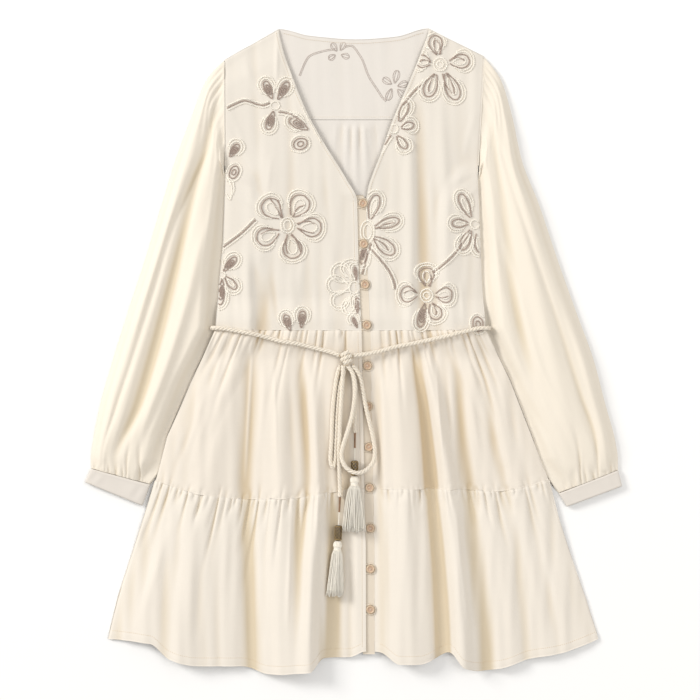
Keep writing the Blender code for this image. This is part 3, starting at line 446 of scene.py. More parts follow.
# %% Waves, creases and gathers
# Pitch across the cloth and along it, sway, turn and share of each wave
WAVE_ROWS = (
    (23.0, 430.0, 4.0, 0.9, 0.8), (37.0, 560.0, 6.0, 2.3, 0.9), (58.0, 480.0, 8.0, 4.1, 0.9),
    (15.0, 300.0, 3.0, 5.2, 0.35),
)


def waves(x, y, size, seed):
    """Slow, mostly lengthwise waves of the cloth."""
    total = 0.0
    for across, along, sway, turn, share in WAVE_ROWS:
        shifted = x + sway * np.sin(2 * math.pi * y / along + turn + seed)
        total = total + share * np.sin(2 * math.pi * shifted / across + turn * 3 + 2 * seed)
    return size * total


def crease_height(rows, x, y):
    """Short creases, each from one point to another with its half width and height."""
    total = np.zeros(np.broadcast(x, y).shape)
    for x0, y0, x1, y1, half, height in rows:
        way_x, way_y = x1 - x0, y1 - y0
        length = math.hypot(way_x, way_y)
        along = np.clip(((x - x0) * way_x + (y - y0) * way_y) / length**2, 0, 1)
        off_x, off_y = x - x0 - along * way_x, y - y0 - along * way_y
        across = np.hypot(off_x, off_y) / half
        total = total + height * np.sin(math.pi * along) * np.exp(-across * across)
    return total


GATHER_JITTER, GATHER_DRIFT = 0.34, 0.5  # in shares of the pitch
GATHER_HALF, GATHER_DEPTH = (1.2, 2.3), (1.4, 3.4)
GATHER_REACHES = (0.3, 0.6, 1.0, 1.9)  # most gathers are short, a few run far down
GATHER_OPENS = 2.2  # how much wider a gather gets as it fades


def gather_rows(width, count, reach, seed):
    """Centre, half width, depth, length and drift of each gather along a seam."""
    draw = np.random.default_rng(seed)
    pitch = width / count
    centres = (np.arange(count) + 0.5 + draw.uniform(-GATHER_JITTER, GATHER_JITTER, count)) * pitch
    halves = draw.uniform(*GATHER_HALF, count)
    depths = draw.uniform(*GATHER_DEPTH, count)
    lengths = reach * draw.choice(GATHER_REACHES, count) * draw.uniform(0.8, 1.2, count)
    drifts = pitch * draw.uniform(-GATHER_DRIFT, GATHER_DRIFT, count)
    return np.stack([centres, halves, depths, lengths, drifts], axis=1)


def gathered(rows, place, below):
    """Height of a row of gathers: rounded cloth with narrow troughs that widen as they fade."""
    total = np.zeros(np.broadcast(place, below).shape)
    for centre, half, depth, length, drift in rows:
        away = ease(below / length)
        strength = depth * (1 - away) * (0.6 + 0.4 * ease(below / 5))
        across = (place - centre - drift * away) / (half * (1 + GATHER_OPENS * away))
        total = total - strength * np.exp(-across * across) + 0.45 * strength / len(rows)
    return total


def rounded_edge(distance, radius, drop):
    """How far cloth curves down towards an edge."""
    near = 1 - np.clip(distance / radius, 0, 1)
    return -drop * (1 - np.sqrt(1 - near * near))


def band_step(distance, width, height):
    """A turned or doubled strip along an edge stands a little proud, with a soft step."""
    return height * ease((width - distance) / 1.6) * ease(distance / 0.8 + 0.4)


# On the left and the right of the front: the seam's width and its gathers
WAIST_GATHERS = {
    -1: (199.0, gather_rows(199.0, 24, 90, 11)),
    1: (157.0, gather_rows(157.0, 20, 90, 12)),
}
TIER_GATHERS = {-1: (288.0, gather_rows(288.0, 38, 64, 13)), 1: (240.0, gather_rows(240.0, 33, 64, 14))}
for seam, gathers in (("waist", WAIST_GATHERS), ("tier", TIER_GATHERS)):
    print(sum(len(rows) for _, rows in gathers.values()), seam, "gathers")

# %% Creases, listed one by one
BODICE_CREASES = (
    (-104, 438, -105, 356, 3.2, 1.5), (-96, 420, -84, 352, 4.5, -0.7),
    (-150, 400, -128, 340, 6, 0.9), (-168, 330, -140, 250, 5, 0.8),
    (-172, 236, -120, 214, 5, -0.9), (-174, 222, -132, 190, 4, 0.9), (-60, 262, -62, 150, 6, 0.9),
    (-40, 240, -30, 150, 5, -0.7), (-112, 268, -118, 205, 4, 0.8), (-70, 140, -74, 62, 5, 0.9),
    (-30, 150, -26, 60, 6, 0.9), (-160, 120, -156, 44, 4, 0.9), (-112, 110, -104, 36, 4, -0.9),
    (-52, 92, -50, 34, 4, 0.8), (-14, 110, -10, 40, 4, -0.6), (104, 438, 101, 372, 4, 1.1),
    (150, 402, 140, 330, 6, 0.8), (70, 330, 62, 240, 5, 0.8), (48, 300, 50, 200, 5, -0.7),
    (166, 330, 150, 262, 5, 0.8), (170, 240, 130, 218, 5, -0.9), (172, 226, 140, 196, 4, 0.9),
    (104, 250, 108, 120, 5, 0.8), (150, 200, 148, 80, 5, -0.8), (40, 140, 44, 40, 4, 0.9),
    (60, 120, 58, 40, 4, -0.8), (118, 110, 116, 36, 3.5, 0.9), (146, 96, 150, 34, 3.5, 0.9),
    (28, 96, 30, 40, 3, 0.6),
)
SKIRT_CREASES = (
    (-137, 20, -148, -184, 2.6, 1.8), (-108, -10, -104, -170, 2.4, 1.1),
    (112, -6, 122, -176, 2.6, 1.4), (-84, -214, -90, -380, 3.0, 1.5),
    (138, -210, 158, -396, 3.2, 1.5), (-196, -40, -232, -150, 5, 1.2),
    (-176, 12, -196, -70, 4, 1.0), (-120, -10, -128, -150, 5, 1.2), (-88, -20, -84, -160, 5, -1.2),
    (-36, -20, -34, -160, 6, 1.0), (-210, -80, -250, -176, 5, -1.0), (40, -20, 44, -170, 5, 1.1),
    (126, -20, 134, -160, 4, -1.1), (152, -30, 176, -160, 5, 1.2), (196, -30, 222, -150, 5, 1.1),
    (-250, -230, -292, -380, 7, 1.5), (-200, -230, -214, -400, 7, -1.4),
    (-170, -215, -176, -330, 6, 1.2), (-120, -230, -118, -400, 7, -1.2),
    (-25, -186, -27, -430, 8, -3.2), (-39, -192, -41, -430, 4, 1.6), (44, -220, 52, -400, 6, -1.1),
    (100, -220, 108, -330, 6, 1.2), (190, -215, 214, -390, 7, 1.4), (250, -215, 284, -380, 7, 1.2),
    (228, -240, 252, -400, 6, -1.1), (150, -250, 166, -420, 6, 0.9),
)
print(len(BODICE_CREASES) + len(SKIRT_CREASES), "creases")


# %% Finished tops of the cloth
SEAM_LAP = 0.9  # how far two panels lap over each other at a gathered seam
CALM_WIDTH = 18  # beside the button band, where the cloth lies calm
# Radius and drop of each rounded edge
BODICE_SIDE_EDGE, SKIRT_SIDE_EDGE, SHOULDER_EDGE = (2.6, 1.0), (3.0, 1.7), (3.0, 1.2)
SEAM_EDGE, NECK_EDGE = (1.2, 0.4), (1.2, 0.5)
WAIST_ROLL, TIER_ROLL = (2.8, 1.5), (2.8, 1.6)
# Width and height of each strip that is turned under
HEM_TURN, FACING_TURN, NECK_TURN = (11.0, 0.35), (5.5, 0.35), (5.5, 0.45)
# Size and seed of the slow waves
BODICE_WAVES = {-1: (0.28, 0.4), 1: (0.28, 1.7)}
UPPER_WAVES, LOWER_WAVES, BACK_WAVES = (0.4, 2.6), (0.5, 4.4), (0.12, 0.2)


def from_middle(x, y, side):
    """How far a place is from the inner edge of its side of the front, as it shows."""
    return side * (x - centre_x(y)) - (0 if side < 0 else BAND_SHOWN)


def seam_gathers(gathers, x, y, side, below):
    """Height of one seam's gathers; their places widen with the skirt."""
    width, rows = gathers[side]
    inner = centre_x(y) + (0 if side < 0 else BAND_SHOWN)
    place = np.clip((x - inner) / (side_x(y, side) - inner), 0, 1) * width
    return gathered(rows, place, below)


def tier_y(x):
    return through(TIER_SEAM, x)


def side_distance(x, y, side):
    return np.maximum(side * (side_x(y, side) - x), 0)


def bodice_top(x, y, side):
    fine = waves(x, y, *BODICE_WAVES[side]) + crease_height(BODICE_CREASES, x, y)
    fine = fine * np.where(y < V_END_Y, ease(from_middle(x, y, side) / CALM_WIDTH), 1.0)
    z = side_under(x, y, side) + WALL + fine
    z = z + rounded_edge(side_distance(x, y, side), *BODICE_SIDE_EDGE)
    z = z + rounded_edge(np.maximum(shoulder_y(x) - y, 0), *SHOULDER_EDGE)
    return z + rounded_edge(y - WAIST_Y + SEAM_LAP, *SEAM_EDGE)


def skirt_top(x, y, side, gather, size, seed):
    """Top of a front tier before its seams are pressed: folds, gathers and fine form."""
    calm = ease(from_middle(x, y, side) / CALM_WIDTH + 0.1)
    fine = (waves(x, y, size, seed) + crease_height(SKIRT_CREASES, x, y)) * calm
    z = side_under(x, y, side, gather) + WALL + fine
    return z + rounded_edge(side_distance(x, y, side), *SKIRT_SIDE_EDGE)


def upper_top(x, y, side):
    above_tier = y - tier_y(x)
    gather = seam_gathers(WAIST_GATHERS, x, y, side, WAIST_Y - y)
    gather = gather + 0.5 * seam_gathers(TIER_GATHERS, x, y, side, above_tier * 5)
    z = skirt_top(x, y, side, gather, *UPPER_WAVES)
    z = z + rounded_edge(WAIST_Y + SEAM_LAP - y, *WAIST_ROLL)
    return z + rounded_edge(above_tier + SEAM_LAP, *SEAM_EDGE)


def lower_top(x, y, side):
    below = np.maximum(tier_y(x) - y, 0)
    z = skirt_top(x, y, side, seam_gathers(TIER_GATHERS, x, y, side, below), *LOWER_WAVES)
    z = z + rounded_edge(tier_y(x) + SEAM_LAP - y, *TIER_ROLL)
    return z + band_step(y - through(HEM, x), *HEM_TURN)


def back_top(x, y):
    fine = waves(x, y, *BACK_WAVES) * ease((300 - np.abs(x)) / 100)
    return back_under(x, y) + WALL + fine


def band_top(x, y):
    return band_under(x, y) + WALL


def front_top(x, y, side):
    """Top of whatever cloth lies uppermost at a place on one side of the front."""
    x, y = np.asarray(x, float), np.asarray(y, float)
    z = np.where(y >= WAIST_Y, bodice_top(x, y, side), upper_top(x, y, side))
    z = np.where(y < tier_y(x), lower_top(x, y, side), z)
    on_band = (x > centre_x(y)) & (x < centre_x(y) + BAND_SHOWN) & (y < V_END_Y)
    return np.where(on_band, band_top(x, y), z)


print(f"left front at the chest: {float(front_top(-90.0, 170.0, -1)):.1f} mm up")

# %% [markdown]
# ## Finishes
# Every cloth piece uses one weave, made once as a node group: crossed threads from the piece's
# own UV map, slubs where a thread is thicker, and a slow change of tone. Shade in the folds is
# painted in too: each piece carries how deep every place lies in a fold, and the group mixes a
# darker, warmer painted shade colour in there.


# %% Weave group
THREAD_PITCH = 0.0009
BAND_SCALE = 0.314 / THREAD_PITCH  # wave bands at the pitch of the threads
SLUB_SCALE = 640.0
THREAD_SHARE = 0.45  # how much of the height is threads; the rest is slubs


def make_weave_group():
    group = bpy.data.node_groups.new("cotton weave and painted fold shade", "ShaderNodeTree")
    for name, way, kind in (
        ("Cloth Colour", "INPUT", "NodeSocketColor"),
        ("Fold Colour", "INPUT", "NodeSocketColor"),
        ("Slub", "INPUT", "NodeSocketFloat"),
        ("Colour", "OUTPUT", "NodeSocketColor"),
        ("Height", "OUTPUT", "NodeSocketFloat"),
        ("Roughness", "OUTPUT", "NodeSocketFloat"),
    ):
        group.interface.new_socket(name, in_out=way, socket_type=kind)
    given, made = group.nodes.new("NodeGroupInput"), group.nodes.new("NodeGroupOutput")
    uv = group.nodes.new("ShaderNodeUVMap")
    uv.uv_map = "cloth"
    threads, slubs = [], []
    for direction, stretch in (("X", (1.0, 0.05, 1.0)), ("Y", (0.06, 1.0, 1.0))):
        wave = add_node(group, "ShaderNodeTexWave", Scale=BAND_SCALE, Distortion=0.6, Detail=1.0)
        wave.bands_direction = direction
        place = add_node(group, "ShaderNodeMapping", Scale=stretch)
        noise = add_node(group, "ShaderNodeTexNoise", Scale=SLUB_SCALE, Detail=2.0)
        join(group, (uv, "UV", wave, "Vector"), (uv, "UV", place, "Vector"))
        join(group, (place, "Vector", noise, "Vector"))
        threads.append((wave, "Fac"))
        slubs.append((noise, "Fac"))
    weave = add_math(group, "MAXIMUM", *threads)
    slub = add_math(group, "MULTIPLY", *slubs)
    slub_share = add_math(group, "MULTIPLY", (slub, 0), (given, "Slub"))
    height = add_math(group, "MULTIPLY_ADD", (weave, 0), THREAD_SHARE, (slub_share, 0))

    tone = add_node(group, "ShaderNodeTexNoise", Scale=14.0, Detail=3.0)
    tone_range = add_node(group, "ShaderNodeMapRange", To_Min=0.965, To_Max=1.02)
    thread_range = add_node(group, "ShaderNodeMapRange", To_Min=0.95, To_Max=1.01)
    rough = add_node(group, "ShaderNodeMapRange", To_Min=0.92, To_Max=0.78)
    shade = add_math(group, "MULTIPLY", (tone_range, 0), (thread_range, 0))
    grey = group.nodes.new("ShaderNodeCombineColor")
    # Painted shade: the deeper a place lies in a fold, the more of the darker fold colour is mixed in
    fold_shade = group.nodes.new("ShaderNodeAttribute")
    fold_shade.attribute_name = "painted_fold_shade"
    fold_shaded, toned = group.nodes.new("ShaderNodeMix"), group.nodes.new("ShaderNodeMix")
    fold_shaded.data_type = toned.data_type = "RGBA"
    toned.blend_type = "MULTIPLY"
    give(toned, Factor=1.0)
    join(
        group,
        (uv, "UV", tone, "Vector"),
        (tone, "Fac", tone_range, "Value"),
        (height, 0, thread_range, "Value"),
        (height, 0, rough, "Value"),
        (fold_shade, "Fac", fold_shaded, "Factor"),
        (given, "Cloth Colour", fold_shaded, "A"),
        (given, "Fold Colour", fold_shaded, "B"),
        *((shade, 0, grey, channel) for channel in ("Red", "Green", "Blue")),
        (fold_shaded, "Result", toned, "A"),
        (grey, "Color", toned, "B"),
        (toned, "Result", made, "Colour"),
        (height, 0, made, "Height"),
        (rough, 0, made, "Roughness"),
    )
    return group


weave_group = make_weave_group()
print("weave group:", len(weave_group.nodes), "nodes")


# %% Cotton
FIBRE_HEIGHT = 0.0003  # how high a thread stands, in metres
SLUB_AMOUNT = 0.6


def cotton(name, cloth, fold_shade, bump=0.25):
    """A cotton material; `cloth` is its colour on top and `fold_shade` the painted shade colour deep in a
    fold.
    """
    made, tree, shader = new_material(name)
    weave = tree.nodes.new("ShaderNodeGroup")
    weave.node_tree = weave_group
    give(weave, Cloth_Colour=srgb(*cloth), Fold_Colour=srgb(*fold_shade), Slub=SLUB_AMOUNT)
    bumped = add_node(tree, "ShaderNodeBump", Strength=bump, Distance=FIBRE_HEIGHT)
    join(
        tree,
        (weave, "Colour", shader, "Base Color"),
        (weave, "Roughness", shader, "Roughness"),
        (weave, "Height", bumped, "Height"),
        (bumped, "Normal", shader, "Normal"),
    )
    give(shader, Sheen_Weight=0.1, Sheen_Roughness=0.5, Specular_IOR_Level=0.25)
    return made


# The second colour of each cotton is painted shade for the bottom of its folds.
bodice_cotton = cotton("bodice cotton", (226, 219, 208), (204, 186, 158))
skirt_cotton = cotton("skirt cotton", (231, 222, 209), (206, 188, 159))
sleeve_cotton = cotton("sleeve cotton", (236, 227, 212), (216, 202, 177))
lower_cotton = cotton("lower skirt cotton", (233, 225, 213), (214, 199, 173))
back_cotton = cotton("back cotton", (225, 219, 211), (206, 188, 162))
cuff_cotton = cotton("cuff cotton", (222, 215, 206), (206, 190, 166), bump=0.2)
print("six cottons")


# %% Yarn, thread and rope
def fibre_material(name, light, dark, scale, bump=0.5):
    """Twisted fibres that run round a yarn; the yarn's UV has turns as X and length as Y."""
    made, tree, shader = new_material(name)
    uv = tree.nodes.new("ShaderNodeUVMap")
    uv.uv_map = "cloth"
    place = add_node(tree, "ShaderNodeMapping", Rotation=(0, 0, 0.6))
    wave = add_node(tree, "ShaderNodeTexWave", Scale=scale, Distortion=2.2, Detail=2.0, Detail_Scale=2.0)
    ramp = add_ramp(tree, srgb(*dark), srgb(*light), 0.05, 0.65)
    bumped = add_node(tree, "ShaderNodeBump", Strength=bump, Distance=FIBRE_HEIGHT)
    join(
        tree,
        (uv, "UV", place, "Vector"),
        (place, "Vector", wave, "Vector"),
        (wave, "Fac", ramp, "Fac"),
        (ramp, "Color", shader, "Base Color"),
        (wave, "Fac", bumped, "Height"),
        (bumped, "Normal", shader, "Normal"),
    )
    give(shader, Roughness=0.85, Sheen_Weight=0.3, Specular_IOR_Level=0.25)
    return made


cream_yarn = fibre_material("cream yarn", (255, 250, 240), (244, 235, 219), 900.0, bump=0.3)
taupe_yarn = fibre_material("taupe yarn", (204, 184, 170), (152, 131, 119), 900.0)
pale_thread = fibre_material("wrong side thread", (214, 204, 196), (188, 174, 164), 900.0)
sewing_thread = fibre_material("sewing thread", (246, 236, 220), (214, 194, 164), 1200.0)
rope_fibre = fibre_material("rope fibre", (254, 247, 235), (228, 212, 186), 620.0, bump=0.7)
tassel_fibre = fibre_material("tassel thread", (255, 251, 241), (248, 240, 224), 800.0)
print("six yarns and threads")

# %% [markdown]
# ## From a grid of points to a sheet of cloth
# A panel is a grid of points with its height read from the tables. The UV map is measured along
# the cloth, so the weave keeps its size over every fold. The underside is a coarser copy, a
# thread's thickness lower, and a rim closes the sheet: Solidify would double every face of it.

# %% Cloth sheet
CLOTH_THICK = 0.9


def blurred_across(grid, reach):
    """Each row's slow form, by averaging over `reach` steps each way."""
    size = grid.shape[1]
    summed = np.concatenate([np.zeros_like(grid[:, :1]), np.cumsum(grid, axis=1)], axis=1)
    low = np.clip(np.arange(size) - reach, 0, size)
    high = np.clip(np.arange(size) + reach + 1, 0, size)
    return (summed[:, high] - summed[:, low]) / (high - low)


# Painted fold shade: a trough this deep below its surroundings gets all of it
FOLD_DEEP = 4.5  # a trough this far below its surroundings has the full fold colour


def painted_fold_shade(z, reach=9):
    """Painted fold shade: 0 on flat cloth and ridges, towards 1 in the bottom of a fold that runs down the
    grid.
    """
    widths = ((reach // 2, 1.0), (2 * reach, 0.6), (4 * reach, 0.4))
    depth = sum(share * (blurred_across(z, wide) - z) for wide, share in widths)
    column = np.arange(z.shape[1])
    from_border = np.minimum(column, column[::-1])
    return np.clip(depth / FOLD_DEEP, 0, 1) ** 1.3 * ease(from_border / (2 * reach))


def mesh_object(name, points, faces, uv, depth, material):
    """A mesh from arrays: points in millimetres, arrays of corner numbers, a UV for each corner."""
    mesh = bpy.data.meshes.new(name)
    mesh.vertices.add(len(points))
    mesh.vertices.foreach_set("co", (points * MM).astype(np.float32).ravel())
    corners = np.concatenate([part.ravel() for part in faces]).astype(np.int32)
    sizes = np.concatenate([np.full(len(part), part.shape[1]) for part in faces])
    mesh.loops.add(len(corners))
    mesh.loops.foreach_set("vertex_index", corners)
    mesh.polygons.add(len(sizes))
    mesh.polygons.foreach_set("loop_start", (np.cumsum(sizes) - sizes).astype(np.int32))
    mesh.uv_layers.new(name="cloth").data.foreach_set("uv", uv.astype(np.float32).ravel())
    # The painted fold shade of each point, for the cotton to read
    if depth is not None:
        layer = mesh.attributes.new("painted_fold_shade", "FLOAT", "POINT")
        layer.data.foreach_set("value", depth.astype(np.float32).ravel())
    mesh.update()
    mesh.validate()
    mesh.shade_smooth()
    mesh.materials.append(material)
    made = bpy.data.objects.new(name, mesh)
    bpy.context.scene.collection.objects.link(made)
    return made


def grid_faces(rows, columns, closed=False):
    """Corner indices of a grid's faces; `closed` joins the last column to the first."""
    down = np.arange(rows - 1)[:, None]
    across = np.arange(columns if closed else columns - 1)[None, :]
    after = (across + 1) % columns
    a = down * columns + across
    b = down * columns + after
    return np.stack([a, a + columns, b + columns, b], axis=-1).reshape(-1, 4)


def flat_places(points):
    """Place of each point on the flat cloth, in metres along its rows and columns."""
    rows, columns = points.shape[:2]
    across, along = np.zeros((rows, columns)), np.zeros((rows, columns))
    across[:, 1:] = np.cumsum(np.linalg.norm(np.diff(points, axis=1), axis=2), axis=1)
    along[1:] = np.cumsum(np.linalg.norm(np.diff(points, axis=0), axis=2), axis=0)
    return np.stack([across, along], axis=-1) * MM


def select_only(piece):
    bpy.ops.object.select_all(action="DESELECT")
    bpy.context.view_layer.objects.active = piece
    piece.select_set(True)


def apply_all(piece):
    """Applies the piece's modifiers."""
    select_only(piece)
    for modifier in list(piece.modifiers):
        bpy.ops.object.modifier_apply(modifier=modifier.name)
    piece.select_set(False)


def faces_area(piece):
    """Area of the piece's surface, in square metres."""
    areas = np.empty(len(piece.data.polygons))
    piece.data.polygons.foreach_get("area", areas)
    return float(areas.sum())


def lowest_near(z, reach):
    """The lowest height within `reach` steps of each place."""
    for axis in (0, 1):
        size = z.shape[axis]
        places = [np.clip(np.arange(size) + step, 0, size - 1) for step in range(-reach, reach + 1)]
        z = np.minimum.reduce([np.take(z, place, axis) for place in places])
    return z


UNDER_STEP = 3


def every(count):
    """Every few numbers up to count, first and last among them."""
    return np.unique(np.round(np.linspace(0, count - 1, (count - 1) // UNDER_STEP + 1)).astype(int))


def rim_faces(rows, columns, kept_rows, kept_columns):
    """Faces between the border of a fine grid and that of the coarser one below it."""
    fine = np.arange(rows * columns).reshape(rows, columns)
    coarse = rows * columns + np.arange(len(kept_rows) * len(kept_columns)).reshape(len(kept_rows), -1)
    made = []
    borders = (
        (fine[0], coarse[0], kept_columns),
        (fine[:, -1], coarse[:, -1], kept_rows),
        (fine[-1][::-1], coarse[-1][::-1], (columns - 1 - kept_columns)[::-1]),
        (fine[:, 0][::-1], coarse[:, 0][::-1], (rows - 1 - kept_rows)[::-1]),
    )
    for upper, lower, places in borders:
        for k in range(len(places) - 1):
            middle = (places[k] + places[k + 1]) // 2
            for i in range(places[k], places[k + 1]):
                made.append((upper[i + 1], upper[i], lower[k if i < middle else k + 1]))
            made.append((upper[middle], lower[k], lower[k + 1]))
    return np.array(made)


def sew_on(piece):
    """Cloth and its sewing ride with the dress."""
    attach(piece, "root")


def cloth_sheet(name, x, y, z, material, flip=False, thick=CLOTH_THICK, reach=9, added_fold_shade=0.0):
    """A panel through grids of x, y and z: a fine top, a coarser underside and a rim between."""
    rows, columns = z.shape
    points = np.stack([x + 0 * z, y + 0 * z, z], axis=-1)
    kept_rows, kept_columns = every(rows), every(columns)
    below = lowest_near(z, UNDER_STEP - 1) - thick
    below[[0, -1], :] = z[[0, -1], :] - thick
    below[:, [0, -1]] = z[:, [0, -1]] - thick
    below = np.maximum(below, 0.0)
    under = np.stack([points[..., 0], points[..., 1], below], axis=-1)
    under = under[np.ix_(kept_rows, kept_columns)]
    flat = flat_places(points)
    flat = np.concatenate([flat.reshape(-1, 2), flat[np.ix_(kept_rows, kept_columns)].reshape(-1, 2)])
    top_faces = grid_faces(rows, columns)
    under_faces = grid_faces(len(kept_rows), len(kept_columns))[:, ::-1] + rows * columns
    faces = [top_faces, under_faces, rim_faces(rows, columns, kept_rows, kept_columns)]
    if flip:
        faces = [part[:, ::-1] for part in faces]
    every_point = np.concatenate([points.reshape(-1, 3), under.reshape(-1, 3)])
    # Painted fold shade of the top's points, plus any steady share of it; none on the underside
    depth = np.concatenate([painted_fold_shade(z, reach).ravel() + added_fold_shade, np.zeros(under.size // 3)])
    uv = flat[np.concatenate([part.ravel() for part in faces])]
    piece = mesh_object(name, every_point, faces, uv, depth, material)
    a, b, c, d = (every_point[faces[0][:, i]] for i in range(4))
    area = np.linalg.norm(np.cross(c - a, d - b), axis=1).sum() / 2 * MM * MM
    sew_on(piece)
    print(f"{name}: {len(piece.data.polygons)} faces, {area:.4f} square metres")
    return piece, area


def declare(piece, area, width, length, rests_on, cut=None):
    """Works out the piece's cut area, at most its width by its length, and what it rests on, but keeps
    neither; `cut` is its flat area where gathers take up more than what shows.
    """
    area = cut or area
    min(area, width * length)
    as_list(rests_on)


print("sheet tools ready")

# %% [markdown]
# ## Fronts of the bodice
# The left front laps over the button band and the right front carries it. Both run from the
# shoulder seam to the waist, with the neck's V as their inner edge.

# %% Bodice fronts
BAND_LAP = BAND_SHOWN - 0.9  # where the right front's edge lies over the band
BODICE_ACROSS, BODICE_DOWN = 104, 190


def neck_points(side, inner_y):
    """Inner edge of a front, and the height on its outer edge that matches."""
    rows = LEFT_OUTER_ROWS if side < 0 else RIGHT_OUTER_ROWS
    outer_y = np.interp(-inner_y, [-y for y in LEFT_INNER_ROWS], rows)
    neck, lap = (LEFT_INNER, 0) if side < 0 else (RIGHT_INNER, BAND_LAP)
    return np.where(inner_y > V_END_Y, through(neck, inner_y), centre_x(inner_y) + lap), outer_y


def bodice_front(name, side, node):
    down = np.linspace(439 if side < 0 else 440, WAIST_Y - SEAM_LAP, BODICE_DOWN)[:, None]
    across = np.linspace(0, 1, BODICE_ACROSS)[None, :]
    inner_x, outer_y = neck_points(side, down)
    x = mix(inner_x, side_x(outer_y, side), across)
    y = mix(down, outer_y, across) + 0 * x
    z = bodice_top(x, y, side)
    from_edge = np.abs(x - inner_x) * 0.9  # about square to the slanting edge of the neck
    turned = band_step(from_edge, *NECK_TURN)
    if side > 0:
        turned = turned * ease((down - V_END_Y) / 12)
    z = z + turned + rounded_edge(from_edge, *NECK_EDGE)
    piece, area = cloth_sheet(name, x, y, z, bodice_cotton, flip=side > 0)
    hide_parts(node)
    return piece, area


left_bodice, left_area = bodice_front("bodice_front_left", -1, "front_bodice_left")
declare(left_bodice, left_area, 0.205, 0.415, ["back_bodice", "button_band"])
right_bodice, right_area = bodice_front("bodice_front_right", 1, "front_bodice_right")
declare(right_bodice, right_area, 0.175, 0.415, ["back_bodice"])

# %% [markdown]
# ## Two gathered tiers
# Each front tier is cut wider than the seam that holds it. The gathers start tight at the seam
# and open out below. The hem is turned up once and stands a thread's width proud.

# %% Skirt fronts
UPPER_ROWS, LOWER_ROWS = 88, 96
UPPER_SIDE_END = -180.0
LOWER_SIDE_TOP, LOWER_SIDE_END = -183.0, -398.0
GATHER_SHARE = 1.25  # cut width over what shows


def tier_grid(side, columns, rows, top, end):
    down = np.linspace(0, 1, rows)[:, None]
    across = np.linspace(0, 1, columns)[None, :]
    side_y = mix(top, end, down)
    inner = centre_x(side_y) + (0 if side < 0 else BAND_LAP)
    return down, inner, mix(inner, side_x(side_y, side), across)


def tier_front(name, side, columns, node, is_upper):
    if is_upper:
        down, inner, x = tier_grid(side, columns, UPPER_ROWS, WAIST_Y, UPPER_SIDE_END)
        y = mix(WAIST_Y + SEAM_LAP, tier_y(x) - SEAM_LAP, down)
        z = upper_top(x, y, side)
    else:
        down, inner, x = tier_grid(side, columns, LOWER_ROWS, LOWER_SIDE_TOP, LOWER_SIDE_END)
        y = mix(tier_y(x) + SEAM_LAP, through(HEM, x), down)
        z = lower_top(x, y, side)
    facing = band_step(np.abs(x - inner), *FACING_TURN) if side < 0 else 0.0
    material = skirt_cotton if is_upper else lower_cotton
    piece, area = cloth_sheet(name, x, y, z + facing, material, flip=side > 0)
    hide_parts(node)
    return piece, area


upper_left, area = tier_front("upper_tier_left", -1, 226, "upper_skirt_left", True)
declare(upper_left, area, 0.36, 0.235, ["upper_skirt_back", "button_band"], area * GATHER_SHARE)
upper_right, area = tier_front("upper_tier_right", 1, 190, "upper_skirt_right", True)
declare(upper_right, area, 0.32, 0.235, ["upper_skirt_back"], area * GATHER_SHARE)
lower_left, area = tier_front("lower_tier_left", -1, 280, "lower_skirt_left", False)
declare(lower_left, area, 0.44, 0.27, ["lower_skirt_back", "button_band"], area * GATHER_SHARE)
lower_right, area = tier_front("lower_tier_right", 1, 250, "lower_skirt_right", False)
declare(lower_right, area, 0.41, 0.27, ["lower_skirt_back"], area * GATHER_SHARE)

# %% [markdown]
# ## Back and button band
# The back lies flat below the fronts: a yoke, the bodice below it with small pleats, and the two
# tiers. They show inside the neck, at the hem and from the sides.

# %% Back panels
BACK_ACROSS = 150
HEM_PRESS, HEM_PRESS_Y = 0.3, -380  # the back is pressed a little thinner near its hem


def half_width(share, y):
    """The body's half width on the side that `share` lies on."""
    return np.where(share > 0, side_x(y, 1), -side_x(y, -1))


def back_sheet(name, x, y, node, extra=0.0, material=back_cotton, reach=5):
    z = back_top(x, y) + extra - HEM_PRESS * ease((HEM_PRESS_Y - y) / 20)
    piece, area = cloth_sheet(name, x, y, z, material, flip=True, thick=1.3, reach=reach)
    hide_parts(node)
    return piece, area


def yoke_grid():
    across = np.linspace(-HALF_SHOULDER, HALF_SHOULDER, BACK_ACROSS)[None, :]
    down = np.linspace(0, 1, 56)[:, None]
    neck = (across > BACK_NECK[0][0]) & (across < BACK_NECK[-1][0])
    top = np.where(neck, through(BACK_NECK, across), shoulder_y(across))
    y = mix(top, YOKE_Y, down)
    outer = ease((np.abs(across) - BACK_NECK[-1][0]) / 60)
    return across * mix(1, half_width(across, y) / HALF_SHOULDER, outer), y, top


x, y, top = yoke_grid()
neck_edge = band_step(top - y, 7.0, 0.4) * (np.abs(x) < 104)
seam_ridge = 0.55 * np.exp(-(((y - YOKE_Y - 1.4) / 1.1) ** 2))
yoke, area = back_sheet("yoke_back", x, y, "back_yoke", neck_edge + seam_ridge, reach=3)
declare(yoke, area, 0.37, 0.13, ["floor"])

PLEAT_CREASES = (
    (-24, 314, -26, 270, 2.2, 0.9), (-16, 315, -17, 280, 1.6, -0.7), (-4, 315, -4, 262, 1.8, -0.8),
    (8, 315, 9, 268, 1.8, -0.8), (20, 314, 24, 272, 2.0, 0.8), (28, 314, 32, 282, 1.8, -0.6),
    (-30, 300, -34, 236, 3.0, 0.6), (36, 300, 38, 250, 3.0, 0.6),
)


down = np.linspace(YOKE_Y, WAIST_Y, 110)[:, None]
share = np.linspace(-1, 1, BACK_ACROSS)[None, :]
x = share * half_width(share, down)
y = down + 0 * x
extra = crease_height(PLEAT_CREASES, x, y) + rounded_edge(YOKE_Y - y, 1.2, 0.15)
back_bodice, area = back_sheet("bodice_back", x, y, "back_bodice", extra, reach=3)
declare(back_bodice, area, 0.37, 0.30, ["belt_waist", "floor"])

